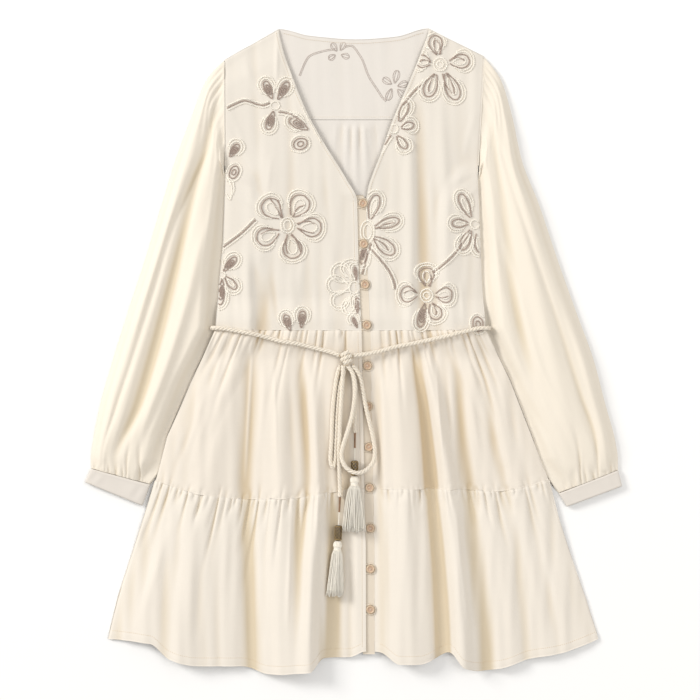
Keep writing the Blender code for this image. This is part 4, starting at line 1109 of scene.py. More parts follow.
BACK_TIER_Y = -186.0
down = np.linspace(WAIST_Y, BACK_TIER_Y, 70)[:, None]
x = share * half_width(share, down)
upper_back, area = back_sheet("upper_tier_back", x, down + 0 * x, "upper_skirt_back", 0.0, skirt_cotton)
declare(upper_back, area, 0.56, 0.23, ["belt_waist", "floor"])

BACK_SIDE_END, HEM_STEP = -392.0, 8.0
down = np.linspace(0, 1, 70)[:, None]
x = share * half_width(share, mix(BACK_TIER_Y, BACK_SIDE_END, down))
y = mix(BACK_TIER_Y, through(HEM, x) + HEM_STEP, down)
lower_back, area = back_sheet("lower_tier_back", x, y, "lower_skirt_back", 0.0, skirt_cotton)
declare(lower_back, area, 0.69, 0.25, ["floor"])

# %% Button band
BAND_TOP_Y, BAND_END_Y = 212, -414
down = np.linspace(BAND_TOP_Y, BAND_END_Y, 260)[:, None]
across = np.linspace(0, BAND_WIDTH, 14)[None, :]
x = centre_x(down) - BAND_UNDER + across
y = down + 0 * x
z = band_top(x, y) + 0.06 * np.sin(y / 9.0)  # barely uneven, as doubled cloth is
# The band gets a steady share of painted fold shade all along its length
band, area = cloth_sheet("front_band", x, y, z, skirt_cotton, reach=3, added_fold_shade=0.35)
declare(band, area, 0.0175, 0.64, ["back_bodice", "upper_skirt_back"])
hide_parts("button_band")

# %% [markdown]
# ## Full sleeves
# A sleeve is a tube that lies flat: its top swells in long soft folds, its back rests on the
# floor and its inner edge is tucked below the body. It is lofted through the cut's rings, with
# small gathers at the sleeve head and at the cuff.

# %% Sleeve rings
SLEEVE_STATIONS = 168
SLEEVE_STEPS = np.concatenate([[0.003, 0.01, 0.02], np.linspace(0.035, 1, 78)])
CUFF_GATHERS = {-1: gather_rows(85, 11, 46, 21), 1: gather_rows(88, 11, 46, 22)}
HEAD_PLEATS = np.array(
    [(9, 2.4, 1.3, 70, 6), (19, 2.6, 1.6, 95, 12), (30, 2.6, 1.2, 80, 16), (43, 3.0, 0.9, 70, 18)],
    float,
)
LEAST_TUCKED = 9  # how much of every ring lies below the body
SLEEVE_SPAN = 160  # a sleeve's width in the waves' own measure
OUTER_FADE, BODY_FADE = 22, 24  # widths over which a fold fades at the sleeve's two edges
OUTER_CALM, BODY_CALM = 5, 4  # the same for the waves and gathers
HEAD_CALM, CUFF_CALM = 6, 80  # lengths over which they fade at the head and at the cuff
HEAD_CLEAR, CUFF_CLEAR = -0.5, 0.3  # from the sleeve's top to the body's edge
SLEEVE_WAVES = {-1: (0.275, 3.3), 1: (0.275, 5.1)}
CUFF_GATHER_SIZE = 0.9
TUCKED_AT = 0.3, 0.65  # places between the body's edge and the inner edge
INNER_ROUND = 2.6
BACK_PLACES = np.linspace(0.985, 0.015, 14)[None, :]


def ring_places(ring, share):
    """x and y at shares of the way from each ring's outer to its inner edge."""
    return mix(ring[:, :1], ring[:, 2:3], share), mix(ring[:, 1:2], ring[:, 3:4], share)


def crossing_shares(ring, side):
    """Share of each ring's line at which it goes below the body's edge."""
    length = np.hypot(ring[:, 2] - ring[:, 0], ring[:, 3] - ring[:, 1])
    most = 1 - LEAST_TUCKED / length
    low, high = np.zeros(len(ring)), np.ones(len(ring))
    for _ in range(24):
        share = (low + high) / 2
        x, y = mix(ring[:, 0], ring[:, 2], share), mix(ring[:, 1], ring[:, 3], share)
        outside = side * (x - side_x(y, side)) > 0
        low, high = np.where(outside, share, low), np.where(outside, high, share)
    return np.minimum(low, most), length


def sleeve_points(rings, side, folds):
    """A grid of points: stations down the sleeve by places round it."""
    numbered = [(k, *row) for k, row in enumerate(rings)]
    number = np.linspace(0, len(rings) - 1, SLEEVE_STATIONS)
    ring = np.stack([through(numbered, number, column) for column in range(1, 6)], axis=1)
    crossing, length = crossing_shares(ring, side)
    clear = mix(HEAD_CLEAR, CUFF_CLEAR, ease(number)) / length
    share = (crossing - clear)[:, None] * SLEEVE_STEPS[None, :]
    x, y = ring_places(ring, share)
    from_outer, from_body = share * length[:, None], (crossing[:, None] - share) * length[:, None]
    middle = (ring[:, 0:2] + ring[:, 2:4]) / 2
    steps = np.linalg.norm(np.diff(middle, axis=0), axis=1)
    down = np.concatenate([[0], np.cumsum(steps)])
    to_cuff, from_head = (down[-1] - down)[:, None], down[:, None]
    soft = ease(from_outer / OUTER_FADE + 0.1) * ease((from_body - 0.6) / BODY_FADE)
    fine = waves(share * SLEEVE_SPAN, from_head, *SLEEVE_WAVES[side]) * ease(to_cuff / CUFF_CALM)
    head = gathered(HEAD_PLEATS, from_outer, from_head) * ease(from_head / HEAD_CALM + 0.2)
    cuff = gathered(CUFF_GATHERS[side], from_outer, to_cuff)
    rise = (ring[:, 4:5] + fold_height(folds, x, y)) * soft
    shoulder = np.maximum(through(ARMHOLE_LOFT, y) - GAP, 0)
    rise = mix(shoulder, rise, ease(number)[:, None])
    edges = ease(from_outer / OUTER_CALM) * ease(from_body / BODY_CALM + 0.2)
    rise = np.maximum(rise + (fine + head + CUFF_GATHER_SIZE * cuff) * edges, 0.0)
    top = np.stack([x, y, TUCK + rise], axis=-1)

    def strip(shares, height):
        x, y = ring_places(ring, shares)
        return np.stack([x, y, np.full_like(x, height)], axis=-1)

    outer = strip(np.zeros((1, 1)), TUCK / 2)
    below = [mix(crossing, 1, place) for place in TUCKED_AT] + [1 - INNER_ROUND / length]
    tucked = strip(np.stack(below, axis=1), TUCK)
    inner = strip(np.ones((1, 1)), TUCK / 2)
    back = strip(BACK_PLACES, 0.0)
    return np.concatenate([outer, top, tucked, inner, back], axis=1)


def closed_tube(name, points, material, depth, thick=CLOTH_THICK):
    """A cloth tube, open at its ends; its wall goes inwards."""
    rows, columns = points.shape[:2]
    quads = grid_faces(rows, columns, closed=True)
    from_middle_line = (points - points.mean(axis=1, keepdims=True)).reshape(-1, 3)[quads[:, 0]]
    a, b, c = (points.reshape(-1, 3)[quads[:, i]] for i in range(3))
    if (np.cross(b - a, c - a) * from_middle_line).sum() < 0:
        quads = quads[:, ::-1]
    wrapped = np.concatenate([points, points[:, :1]], axis=1)
    uv = wrapped_uv(wrapped, quads, columns)
    piece = mesh_object(name, points.reshape(-1, 3), [quads], uv, depth, material)
    area = faces_area(piece)
    wall = piece.modifiers.new("Thickness", "SOLIDIFY")
    wall.thickness = thick * MM
    wall.offset = -1.0
    apply_all(piece)
    keep_over_floor(piece)
    sew_on(piece)
    print(f"{name}: {len(piece.data.polygons)} faces, {area:.4f} square metres")
    return piece, area


def keep_over_floor(piece):
    """Lifts what the wall of a narrow fold pushed below the floor."""
    places = np.empty(len(piece.data.vertices) * 3)
    piece.data.vertices.foreach_get("co", places)
    places[2::3] = np.maximum(places[2::3], 0.0)
    piece.data.vertices.foreach_set("co", places)
    piece.data.update()


def wrapped_uv(wrapped, quads, columns):
    """UV for a closed tube, whose last face goes on past the first column."""
    row, column = quads // columns, quads % columns
    seam = (column.max(axis=1) - column.min(axis=1)) > columns // 2
    column = np.where(seam[:, None] & (column == 0), columns, column)
    return flat_places(wrapped)[row, column].reshape(-1, 2)


# Long narrow creases over the sleeves: y, x, half width, height
LEFT_SLEEVE_LINES = (
    ((300, -192, 4, 0), (232, -219, 4, -2.2), (173, -244, 5, -3), (67, -276, 5.5, -3.6),
     (-22, -303, 4.5, -3.2), (-78, -322, 3.5, -2.6), (-150, -342, 2.5, -1)),
    ((240, -186, 5, 0), (120, -214, 6, 1.4), (0, -246, 6, 1.6), (-90, -280, 5, 1.2),
     (-130, -292, 4, 0)),
)
RIGHT_SLEEVE_LINES = (
    ((320, 190, 4, 0), (240, 212, 4, -1.8), (150, 240, 5, -2.6), (40, 276, 5.5, -2.8),
     (-60, 308, 4.5, -2.4), (-130, 330, 3, -1)),
    ((200, 196, 5, 0), (90, 222, 6, 1.5), (-20, 252, 6, 1.5), (-100, 284, 5, 0)),
)


def sleeve(name, rings, side, folds):
    points = sleeve_points(rings, side, folds)
    depth = np.zeros(points.shape[:2])
    top = slice(1, len(SLEEVE_STEPS) + 1)
    # The painted fold shade fades at the outer edge and beside the body
    clear = ease(SLEEVE_STEPS / 0.16) * (1 - 0.75 * ease((SLEEVE_STEPS - 0.8) / 0.15))
    depth[:, top] = painted_fold_shade(points[:, top, 2], reach=6) * clear
    piece, area = closed_tube(name, points, sleeve_cotton, depth)
    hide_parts(name.replace("cloth_", ""))
    return piece, area


for name, rings, side, folds in (
    ("cloth_sleeve_left", LEFT_RINGS, -1, LEFT_SLEEVE_FOLDS + LEFT_SLEEVE_LINES),
    ("cloth_sleeve_right", RIGHT_RINGS, 1, RIGHT_SLEEVE_FOLDS + RIGHT_SLEEVE_LINES),
):
    declare(*sleeve(name, rings, side, folds), 0.40, 0.62, ["floor"])

# %% [markdown]
# ## Cuffs
# A cuff is a doubled strip sewn into a band. Laid down, it is a low flat loop with rounded folds
# at its two ends. Its stitched edges are pressed a little thinner than its middle.

# %% Cuffs
CUFF_AROUND, CUFF_ROWS = 88, 22
CUFF_ROUND = 5.0  # the power that squares the loop's section
CUFF_DEEP = 23  # from seam to edge


def cuff(name, corners, node):
    top_outer, top_inner, low_outer, low_inner = (np.array(corner, float) for corner in corners)
    down = np.linspace(0, 1, CUFF_ROWS)[:, None]
    turn = np.linspace(0, 2 * math.pi, CUFF_AROUND, endpoint=False)[None, :]
    ways = (np.cos(turn), np.sin(turn))
    flat_x, flat_z = (np.sign(way) * np.abs(way) ** (2 / CUFF_ROUND) for way in ways)
    share = 0.5 - 0.5 * flat_x
    edges = np.hstack([mix(top_outer, low_outer, down), mix(top_inner, low_inner, down)])
    x, y = ring_places(edges, share)
    edge = np.minimum(down, 1 - down) * CUFF_DEEP
    # Pressed at the seam and the edge, with a low ridge inside the stitching
    press = 0.7 * (1 - ease(edge / 1.6)) - 0.25 * np.exp(-(((edge - 2.4) / 0.8) ** 2))
    ripple = 0.35 * np.sin(share * 34 + down * 2.2) * np.sin(math.pi * down)
    z = CUFF_HEIGHT / 2 * (1 + flat_z) + np.where(flat_z > 0, (ripple - press) * np.abs(flat_z), 0.0)
    points = np.stack([x, y, np.maximum(z, 0.0)], axis=-1)
    piece, area = closed_tube(name, points, cuff_cotton, np.zeros(points.shape[:2]), thick=1.4)
    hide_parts(node)
    declare(piece, area, 0.19, 0.025, ["floor"])


cuff("cloth_cuff_left", LEFT_CUFF, "cuff_left")
cuff("cloth_cuff_right", RIGHT_CUFF, "cuff_right")

# %% [markdown]
# ## Rope belt
# The belt is a soft cotton rope of three strands laid round each other. Its line is the packed
# rope's own route; the strands turn round it once in about fifteen millimetres. The frame that
# carries them is moved along the line without spin, so the twist stays even in the bends.

# %% Routes of the belt
BELT_ROUTE = (
    (-19.2, -6.4, 17.4), (-30, -2.4, 15.6), (-46, 1.6, 14.4), (-73, 8.6, 16.5), (-88, 11, 18.4),
    (-100, 13, 18.2), (-113, 16.6, 17.6), (-127, 20.4, 19.4), (-141, 23.6, 21.7), (-154, 26, 21.0),
    (-177, 30, 19.8), (-187.6, 30.6, 17.9), (-191.8, 30.6, 14.2), (-192.0, 30.4, 10.2),
    (-188.0, 30, 7.3), (-177, 30, 7.0), (-152, 30, 6.9), (-134, 30, 5.3), (-118, 30, 3.8),
    (-103, 30, 3.2), (0, 30, 3.2), (97, 30, 3.2), (112, 30, 3.5), (128, 30, 5.1), (146, 30, 6.9),
    (169, 30, 7.0), (180.0, 30, 7.3), (184.0, 30.4, 10.2), (183.8, 30.6, 14.2),
    (179.6, 30.6, 17.9), (169, 30, 19.8), (145, 24.6, 21.3), (132, 21, 21.3), (118, 17.6, 19.0),
    (97, 13, 16.4), (77, 8.8, 17.0), (56, 4.8, 15.2), (36, -1, 14.0), (16, -5, 15.0),
    (-0.4, -7.0, 17.4),
)
LEFT_LOOP_ROUTE = (
    (-17.4, -20.4, 12.8), (-21.4, -30, 12.3), (-25, -50, 12.3), (-28.4, -81, 12.2),
    (-30, -122, 12.2), (-31.4, -148, 12.4), (-28.2, -158.4, 12.2), (-24.6, -148, 11.6),
    (-23.4, -122, 11.4), (-21.4, -81, 11.4), (-18.4, -50, 11.5), (-14, -33, 11.6),
    (-11.2, -20.6, 11.6),
)
LEFT_TAIL_ROUTE = (
    (-14.0, -20.4, 18.0), (-14.6, -36, 17.8), (-16.2, -60, 17.6), (-18, -90, 17.3),
    (-19.4, -125, 17.0), (-19.4, -150, 16.8), (-19.0, -166, 14.6), (-18.6, -182, 11.4),
    (-18.4, -199, 10.4),
)
RIGHT_LOOP_ROUTE = (
    (-7.8, -20.6, 18.4), (-1.2, -31, 18.5), (2.2, -48, 18.5), (1.2, -66, 18.4), (-2, -88, 18.4),
    (-8.4, -111, 19.4), (-14.4, -129, 22.2), (-16.4, -143, 23.2), (-12.4, -155, 23.6),
    (-4, -163, 23.8), (5.4, -165.6, 23.4), (16, -162.6, 20), (25, -154, 15.8), (28.8, -143, 13.4),
    (27.6, -124, 13.0), (21.4, -96, 13.0), (16.6, -76, 13.8), (13.2, -58, 13.4), (9.4, -38, 14.8),
    (4.6, -27, 16.8), (-1.4, -20.2, 18.2),
)
RIGHT_TAIL_ROUTE = (
    (-5.0, -20.6, 11.8), (-1.0, -34, 11.9), (1.2, -55, 12.0), (1.6, -80, 12.0),
    (1.9, -111.8, 12.0),
)
KNOT_CENTRE = (-9.8, -9.4, 17.0)
LEFT_DROP = {
    "end": (-18.4, -199.0, 10.4),
    "lean": (-0.05, 0.035),
    "tube": 21,
    "thread": 17.5,
    "splay": 2.1,
}
RIGHT_DROP = {
    "end": (1.9, -111.8, 12.0),
    "lean": (-0.01, 0.037),
    "tube": 20,
    "thread": 17.5,
    "splay": 2.9,
}
TUBE_RADIUS = 1.4
BEAD_LENGTH = 21.0
BEAD_RADIUS = 5.2
HEAD_LENGTH = 12.5
STRAND_LENGTH = 66.0


# %% Lines, frames and tubes
def smooth_line(route, step):
    """Points every `step` millimetres on a smooth curve through the route's own points."""
    points = np.array(route, float)
    points = np.concatenate([[2 * points[0] - points[1]], points, [2 * points[-1] - points[-2]]])
    t = np.linspace(0, 1, 24, endpoint=False)[:, None]
    dense = []
    for a, b, c, d in zip(points, points[1:], points[2:], points[3:]):
        square, cube = 2 * a - 5 * b + 4 * c - d, 3 * b - a - 3 * c + d
        dense.append(0.5 * (2 * b + (c - a) * t + square * t**2 + cube * t**3))
    dense = np.concatenate([*dense, points[-2:-1]])
    return even_steps(dense, step)


def run_along(line):
    """Distance of each point from the line's start."""
    return np.concatenate([[0], np.cumsum(np.linalg.norm(np.diff(line, axis=0), axis=1))])


def even_steps(line, step):
    run = run_along(line)
    at = np.linspace(0, run[-1], max(int(round(run[-1] / step)), 2) + 1)
    return np.stack([np.interp(at, run, line[:, i]) for i in range(3)], axis=1)


def round_line(radius, turn, z):
    """Points about Z; any of the three may change along the line."""
    return np.stack([radius * np.cos(turn), radius * np.sin(turn), z + 0 * turn], axis=1)


def carried_frames(line):
    """Two side directions at each point, carried along the line without spin."""
    tangents = np.gradient(line, axis=0)
    tangents /= np.linalg.norm(tangents, axis=1, keepdims=True)
    start = np.cross(tangents[0], (0, 0, 1.0))
    if np.linalg.norm(start) < 0.1:
        start = np.cross(tangents[0], (0, 1.0, 0))
    sides = [start / np.linalg.norm(start)]
    for tangent in tangents[1:]:
        side = sides[-1] - tangent * np.dot(sides[-1], tangent)
        sides.append(side / np.linalg.norm(side))
    sides = np.array(sides)
    return sides, np.cross(tangents, sides)


UV_TURN = 0.006  # one turn round a yarn, on its UV map


def tube_parts(line, radius, around, start):
    """Points, faces, end caps and their UVs of a tube round a line."""
    side, up = carried_frames(line)
    turn = np.linspace(0, 2 * math.pi, around, endpoint=False)
    ring = side[:, None] * np.cos(turn)[None, :, None] + up[:, None] * np.sin(turn)[None, :, None]
    points = (line[:, None] + ring * radius).reshape(-1, 3)
    quads = grid_faces(len(line), around, closed=True)
    run = run_along(line)
    row, column = quads // around, quads % around
    seam = (column.max(axis=1) - column.min(axis=1)) > 1
    column = np.where(seam[:, None] & (column == 0), around, column)
    uv = np.stack([column / around * UV_TURN, run[row] * MM], axis=-1).reshape(-1, 2)
    base = (len(line) - 1) * around
    first = [(0, i, i + 1) for i in range(1, around - 1)]
    last = [(base, base + i + 1, base + i) for i in range(1, around - 1)]
    caps = np.array(first + last)
    uv = uv.reshape(-1, 4, 2)[:, ::-1].reshape(-1, 2)
    return points, quads[:, ::-1] + start, caps[:, ::-1] + start, uv, np.zeros((caps.size, 2))


def tubes_object(name, lines, radius, around, material):
    """One piece made of many tubes; `radius` is one number or one for each line."""
    parts, count = [], 0
    for k, line in enumerate(lines):
        size = radius[k] if isinstance(radius, list) else radius
        parts.append(tube_parts(line, size, around, count))
        count += len(parts[-1][0])
    points, quads, caps, uvs, cap_uvs = zip(*parts)
    faces = [np.concatenate(quads), np.concatenate(caps)]
    piece = mesh_object(name, np.concatenate(points), faces, np.concatenate(uvs + cap_uvs), None, material)
    print(f"{name}: {len(lines)} lines, {len(piece.data.polygons)} faces")
    return piece


def twisted(line, count, offset, pitch):
    """Lines of `count` strands laid round a line."""
    side, up = carried_frames(line)
    run = run_along(line)
    made = []
    for k in range(count):
        turn = 2 * math.pi * (run / pitch + k / count)
        made.append(line + offset * (side * np.cos(turn)[:, None] + up * np.sin(turn)[:, None]))
    return made


# %% Belt and bow
ROPE_STRAND, ROPE_OFFSET, ROPE_PITCH = 1.55, 1.6, 15.5
ROPE_STEP = 1.5
ROPE_LENGTH_NAMES = {
    "rope_waist": ("belt_waist", BELT_ROUTE),
    "rope_loop_left": ("belt_loop_left", LEFT_LOOP_ROUTE),
    "rope_tail_left": ("belt_tail_left", LEFT_TAIL_ROUTE),
    "rope_loop_right": ("belt_loop_right", RIGHT_LOOP_ROUTE),
    "rope_tail_right": ("belt_tail_right", RIGHT_TAIL_ROUTE),
}
ropes, rope_lines = {}, {}
for name, (node, route) in ROPE_LENGTH_NAMES.items():
    line = smooth_line(route, ROPE_STEP)
    strands = twisted(line, 3, ROPE_OFFSET, -ROPE_PITCH)
    ropes[name] = tubes_object(name, strands, ROPE_STRAND, 8, rope_fibre)
    rope_lines[name] = line
    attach(ropes[name], "root")
    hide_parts(node)

# %% [markdown]
# ## Knot
# The bow's knot is the rope itself, wrapped a little more than twice round the crossing ends, so
# it is laid here as one short coil and not as a ball.

# %% Knot
KNOT_TURNS = 2.35
KNOT_WIDE, KNOT_HIGH = 5.6, 4.7
KNOT_FROM, KNOT_TO = -2.6, -16.2


def knot_line():
    turn = np.linspace(0.15, KNOT_TURNS, 90) * 2 * math.pi
    share = np.linspace(0, 1, len(turn))
    slant = 0.36
    x = KNOT_CENTRE[0] + KNOT_WIDE * np.cos(turn)
    z = KNOT_CENTRE[2] + 0.4 + KNOT_HIGH * np.sin(turn)
    y = mix(KNOT_FROM, KNOT_TO, share) + slant * (x - KNOT_CENTRE[0])
    return even_steps(np.stack([x, y, z], axis=1), 1.2)


knot_route = knot_line()
knot_strands = twisted(knot_route, 3, ROPE_OFFSET, -ROPE_PITCH)
knot = tubes_object("rope_knot", knot_strands, ROPE_STRAND, 8, rope_fibre)
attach(knot, "root")
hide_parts("belt_knot")

# %% [markdown]
# ## Drops: tube, thread, bead and tassel
# Each free end runs into a slim wooden tube, then a thread, a dark bead with a brass pattern and
# a tassel with a bound head. The turned pieces are spun about their own axis; the tassel's head is spun
# once and copied.


# %% Turned pieces
def drop_frame(drop, distance):
    """Place and turn of a piece whose axis runs down the drop."""
    axis = Vector((drop["lean"][0], -1, drop["lean"][1])).normalized()
    turn = (-axis).to_track_quat("Z", "Y").to_matrix().to_4x4()
    return Matrix.Translation((Vector(drop["end"]) + axis * distance) * MM) @ turn


def spun(name, profile, steps, material):
    """A turned piece about Z, spun from a line of vertices in edit mode; profile is radius, z."""
    bpy.ops.object.select_all(action="DESELECT")
    bpy.ops.mesh.primitive_plane_add(size=0.01, location=(0, 0, 0))
    piece = bpy.context.object
    piece.name = name
    bm = bmesh.new()
    line = [bm.verts.new((radius * MM, 0, z * MM)) for radius, z in profile]
    for a, b in zip(line, line[1:]):
        bm.edges.new((a, b))
    bm.to_mesh(piece.data)
    bm.free()
    bpy.ops.object.mode_set(mode="EDIT")
    bpy.ops.mesh.select_all(action="SELECT")
    bpy.ops.mesh.spin(steps=steps, angle=2 * math.pi, center=(0, 0, 0), axis=(0, 0, 1))
    bpy.ops.mesh.select_all(action="SELECT")
    bpy.ops.mesh.remove_doubles(threshold=0.00001)
    bpy.ops.mesh.normals_make_consistent(inside=False)
    bpy.ops.object.mode_set(mode="OBJECT")
    bpy.ops.object.shade_smooth_by_angle(angle=math.radians(40))
    piece.data.materials.clear()
    piece.data.materials.append(material)
    piece.select_set(False)
    return piece


def settle(piece, matrix):
    """Puts the place into the mesh, so the object sits unturned at the origin."""
    piece.data.transform(matrix)
    piece.data.update()
    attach(piece, "root")


def copy_of(piece, name):
    made = piece.copy()
    made.data = piece.data.copy()
    made.name = name
    bpy.context.scene.collection.objects.link(made)
    return made


# %% [markdown]
# ## Wood, brass and button finishes
# The beads look like dark resin with a brass pattern of small cells, the tubes like stained
# wood, and the buttons like coconut shell: tan with paler and darker grain.


# %% Hard finishes
def grained(name, colours, scale, stretch, roughness, bump=0.2, metallic=0.0):
    """A hard finish with stretched grain on the piece's own coordinates."""
    made, tree, shader = new_material(name)
    place = tree.nodes.new("ShaderNodeTexCoord")
    turn = add_node(tree, "ShaderNodeMapping", Scale=stretch)
    noise = add_node(tree, "ShaderNodeTexNoise", Scale=scale, Detail=5.0)
    ramp = add_ramp(tree, srgb(*colours[0]), srgb(*colours[1]), 0.32, 0.66)
    bumped = add_node(tree, "ShaderNodeBump", Strength=bump, Distance=0.0002)
    rough = add_node(tree, "ShaderNodeMapRange", To_Min=roughness - 0.08, To_Max=roughness + 0.1)
    join(
        tree,
        (place, "Object", turn, "Vector"),
        (turn, "Vector", noise, "Vector"),
        (noise, "Fac", ramp, "Fac"),
        (noise, "Fac", rough, "Value"),
        (rough, 0, shader, "Roughness"),
        (ramp, "Color", shader, "Base Color"),
        (noise, "Fac", bumped, "Height"),
        (bumped, "Normal", shader, "Normal"),
    )
    give(shader, Metallic=metallic)
    return made


button_shell = grained("button shell", ((190, 163, 135), (218, 196, 168)), 520.0, (1, 1, 0.3), 0.45)
button_middle = grained("button middle", ((180, 146, 120), (208, 178, 152)), 700.0, (1, 1, 1), 0.5)
tube_wood = grained("stained wood", ((98, 70, 48), (158, 122, 92)), 900.0, (1, 0.15, 1), 0.5)
bead_resin = grained("dark resin", ((30, 23, 18), (58, 44, 34)), 500.0, (1, 1, 1), 0.35)
bead_brass = grained("aged brass", ((142, 114, 72), (214, 188, 134)), 900.0, (1, 1, 1), 0.35, 0.3, 0.6)
print("hard finishes ready")

# %% Tubes, threads and beads
TUBE_PROFILE = (
    (0, 0), (1.15, 0), (TUBE_RADIUS, -0.5), (TUBE_RADIUS, -1.6), (1.3, -2.0), (1.3, -18.6),
    (TUBE_RADIUS, -19.0), (TUBE_RADIUS, -20.0), (1.15, -20.5), (0, -20.5),
)
BEAD_PROFILE = (
    (0, 0), (2.4, 0), (3.5, -0.3), (4.6, -1.2), (BEAD_RADIUS - 0.1, -2.6), (BEAD_RADIUS - 0.2, -10.5),
    (BEAD_RADIUS - 0.1, -18.4), (4.6, -19.8), (3.5, -20.7), (2.4, -21.0), (0, -21.0),
)
BEAD_AROUND = 7
NET_END, NET_RING = 2.3, 0.3  # from the bead's ends to the net, and on to its last ring
COLLAR_END, COLLAR_IN = 1.2, 0.55  # a smaller ring where the bead narrows
NET_WIRE, NET_SUNK = 0.3, 0.12
INTO_TUBE, INTO_TASSEL = 1.0, 2.0  # how far the thread goes into each
THREAD_PLY, THREAD_PITCH, THREAD_STRAND = 0.42, 5.0, 0.5


def bead_net(radius):
    """Raised brass cells round a bead: two sets of slanting wires and a ring at each end."""
    lines = []
    top, low = -NET_END, NET_END - BEAD_LENGTH
    for way in (1, -1):
        for k in range(BEAD_AROUND):
            share = np.linspace(0, 1, 22)
            turn = 2 * math.pi * (k / BEAD_AROUND + way * share * 0.5)
            lines.append(round_line(radius, turn, mix(top, low, share)))
    for size, z in (
        (radius, top + NET_RING),
        (radius, low - NET_RING),
        (radius - COLLAR_IN, -COLLAR_END),
        (radius - COLLAR_IN, COLLAR_END - BEAD_LENGTH),
    ):
        lines.append(round_line(size, np.linspace(0, 2 * math.pi, 29), z))
    return lines


drop_pieces = {"left": [], "right": []}
for name, drop in (("left", LEFT_DROP), ("right", RIGHT_DROP)):
    bead_start = GAP + drop["tube"] + drop["thread"]
    tube = spun(f"wood_tube_{name}", TUBE_PROFILE, 20, tube_wood)
    settle(tube, drop_frame(drop, GAP))
    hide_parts(f"drop_tube_{name}")
    bead = spun(f"resin_bead_{name}", BEAD_PROFILE, 32, bead_resin)
    settle(bead, drop_frame(drop, bead_start))
    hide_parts(f"bead_{name}")
    net = tubes_object(f"bead_net_{name}", bead_net(BEAD_RADIUS - NET_SUNK), NET_WIRE, 5, bead_brass)
    settle(net, drop_frame(drop, bead_start))
    thread_end = bead_start + BEAD_LENGTH + INTO_TASSEL
    run = np.linspace(0, thread_end - drop["tube"] + INTO_TUBE, 60)
    plies = twisted(round_line(0.0, 0 * run, -run), 2, THREAD_PLY, THREAD_PITCH)
    thread = tubes_object(f"drop_cord_{name}", plies, THREAD_STRAND, 6, tassel_fibre)
    settle(thread, drop_frame(drop, drop["tube"] - INTO_TUBE))
    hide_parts(f"drop_thread_{name}")
    drop_pieces[name] += [tube, bead, net, thread]

# %% [markdown]
# ## Tassels
# A tassel is a hank of threads folded over the cord and bound below the fold. The head is spun,
# the binding is thread wound round it, and the fringe is many fine strands that bend and fan
# out a little, each with its own length.

# %% Tassels
FRINGE_COUNT, FRINGE_ROOT = 118, 4.7  # strands, and the radius that they start within
HEAD_THREADS = 30
WIND_RADIUS, WIND_TOP, WIND_PITCH, WINDS = 4.75, -9.1, 0.36, 5
FRINGE_SPREAD, FRINGE_THREAD, BINDING_THREAD = 1.2, 0.52, 0.38
STRAND_SHARES, STRAND_SWAY = (0.9, 0.995), (0.2, 0.9)
HEAD_SHAPE = (
    (0, 0.4), (1.6, 0.2), (3.4, -0.6), (4.9, -2.2), (5.7, -4.4), (5.8, -6.4), (5.2, -8.0),
    (4.5, -9.0), (4.4, -10.6), (4.9, -11.6), (5.2, -HEAD_LENGTH), (0, -HEAD_LENGTH),
)


def head_threads():
    """Threads that run over the head from its top to the binding."""
    size, z = np.array(HEAD_SHAPE[1:8]).T
    turns = (2 * math.pi * k / HEAD_THREADS + 0.12 * np.sin(z * 0.8 + k) for k in range(HEAD_THREADS))
    return [round_line(size, turn, z) for turn in turns]


def fringe(drop, seed):
    """Lines of the fringe's strands in the drop's own axes."""
    draw = np.random.default_rng(seed)
    lines = []
    for k in range(FRINGE_COUNT):
        radius = FRINGE_ROOT * math.sqrt((k + 0.5) / FRINGE_COUNT)
        turn = k * math.pi * (3 - math.sqrt(5))
        root_x, root_y = radius * math.cos(turn), radius * math.sin(turn)
        reach = STRAND_LENGTH * draw.uniform(*STRAND_SHARES)
        share = np.linspace(0, 1, 10)
        sway, sway_turn = draw.uniform(*STRAND_SWAY), draw.uniform(0, 6.28)
        wide = 1 + (FRINGE_SPREAD * drop["splay"] - 1) * share**0.5
        x = root_x * wide + sway * np.sin(4.5 * share + sway_turn) * share
        y = root_y * (1 + 0.05 * share) + 0.4 * sway * np.cos(5 * share + sway_turn) * share
        z = 1.0 - HEAD_LENGTH - (reach - 1.0) * share
        lines.append(np.stack([x, y, z], axis=1))
    return lines


tassel_base = spun("tassel_head_left", HEAD_SHAPE, 30, tassel_fibre)
for name, drop, seed in (("left", LEFT_DROP, 31), ("right", RIGHT_DROP, 32)):
    head_start = GAP + drop["tube"] + drop["thread"] + BEAD_LENGTH + GAP
    place = drop_frame(drop, head_start)
    head = copy_of(tassel_base, f"tassel_body_{name}")
    settle(head, place)
    turn = np.linspace(0, 2 * math.pi * WINDS, 150)
    winds = round_line(WIND_RADIUS, turn, WIND_TOP - WIND_PITCH * turn / 2 / math.pi)
    lines = [winds, *head_threads()]
    binding = tubes_object(f"tassel_binding_{name}", lines, BINDING_THREAD, 5, tassel_fibre)
    settle(binding, place)
    lines = fringe(drop, seed)
    strands = tubes_object(f"tassel_fringe_{name}", lines, FRINGE_THREAD, 4, tassel_fibre)
    settle(strands, place)
    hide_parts(f"tassel_{name}")
    drop_pieces[name] += [head, binding, strands]
bpy.data.objects.remove(tassel_base)

# %% [markdown]
# ## Cords of the belt
# The length of each stretch of rope's own line is printed. The two tails end in their
# drops; the loops go back into the knot.


def declare_rope(name):
    line = rope_lines[name] * MM
    float(run_along(line)[-1])
    print(f"{name}: {run_along(rope_lines[name])[-1]:.0f} mm")


declare_rope("rope_waist")
declare_rope("rope_loop_left")
declare_rope("rope_loop_right")
declare_rope("rope_tail_left")
declare_rope("rope_tail_right")

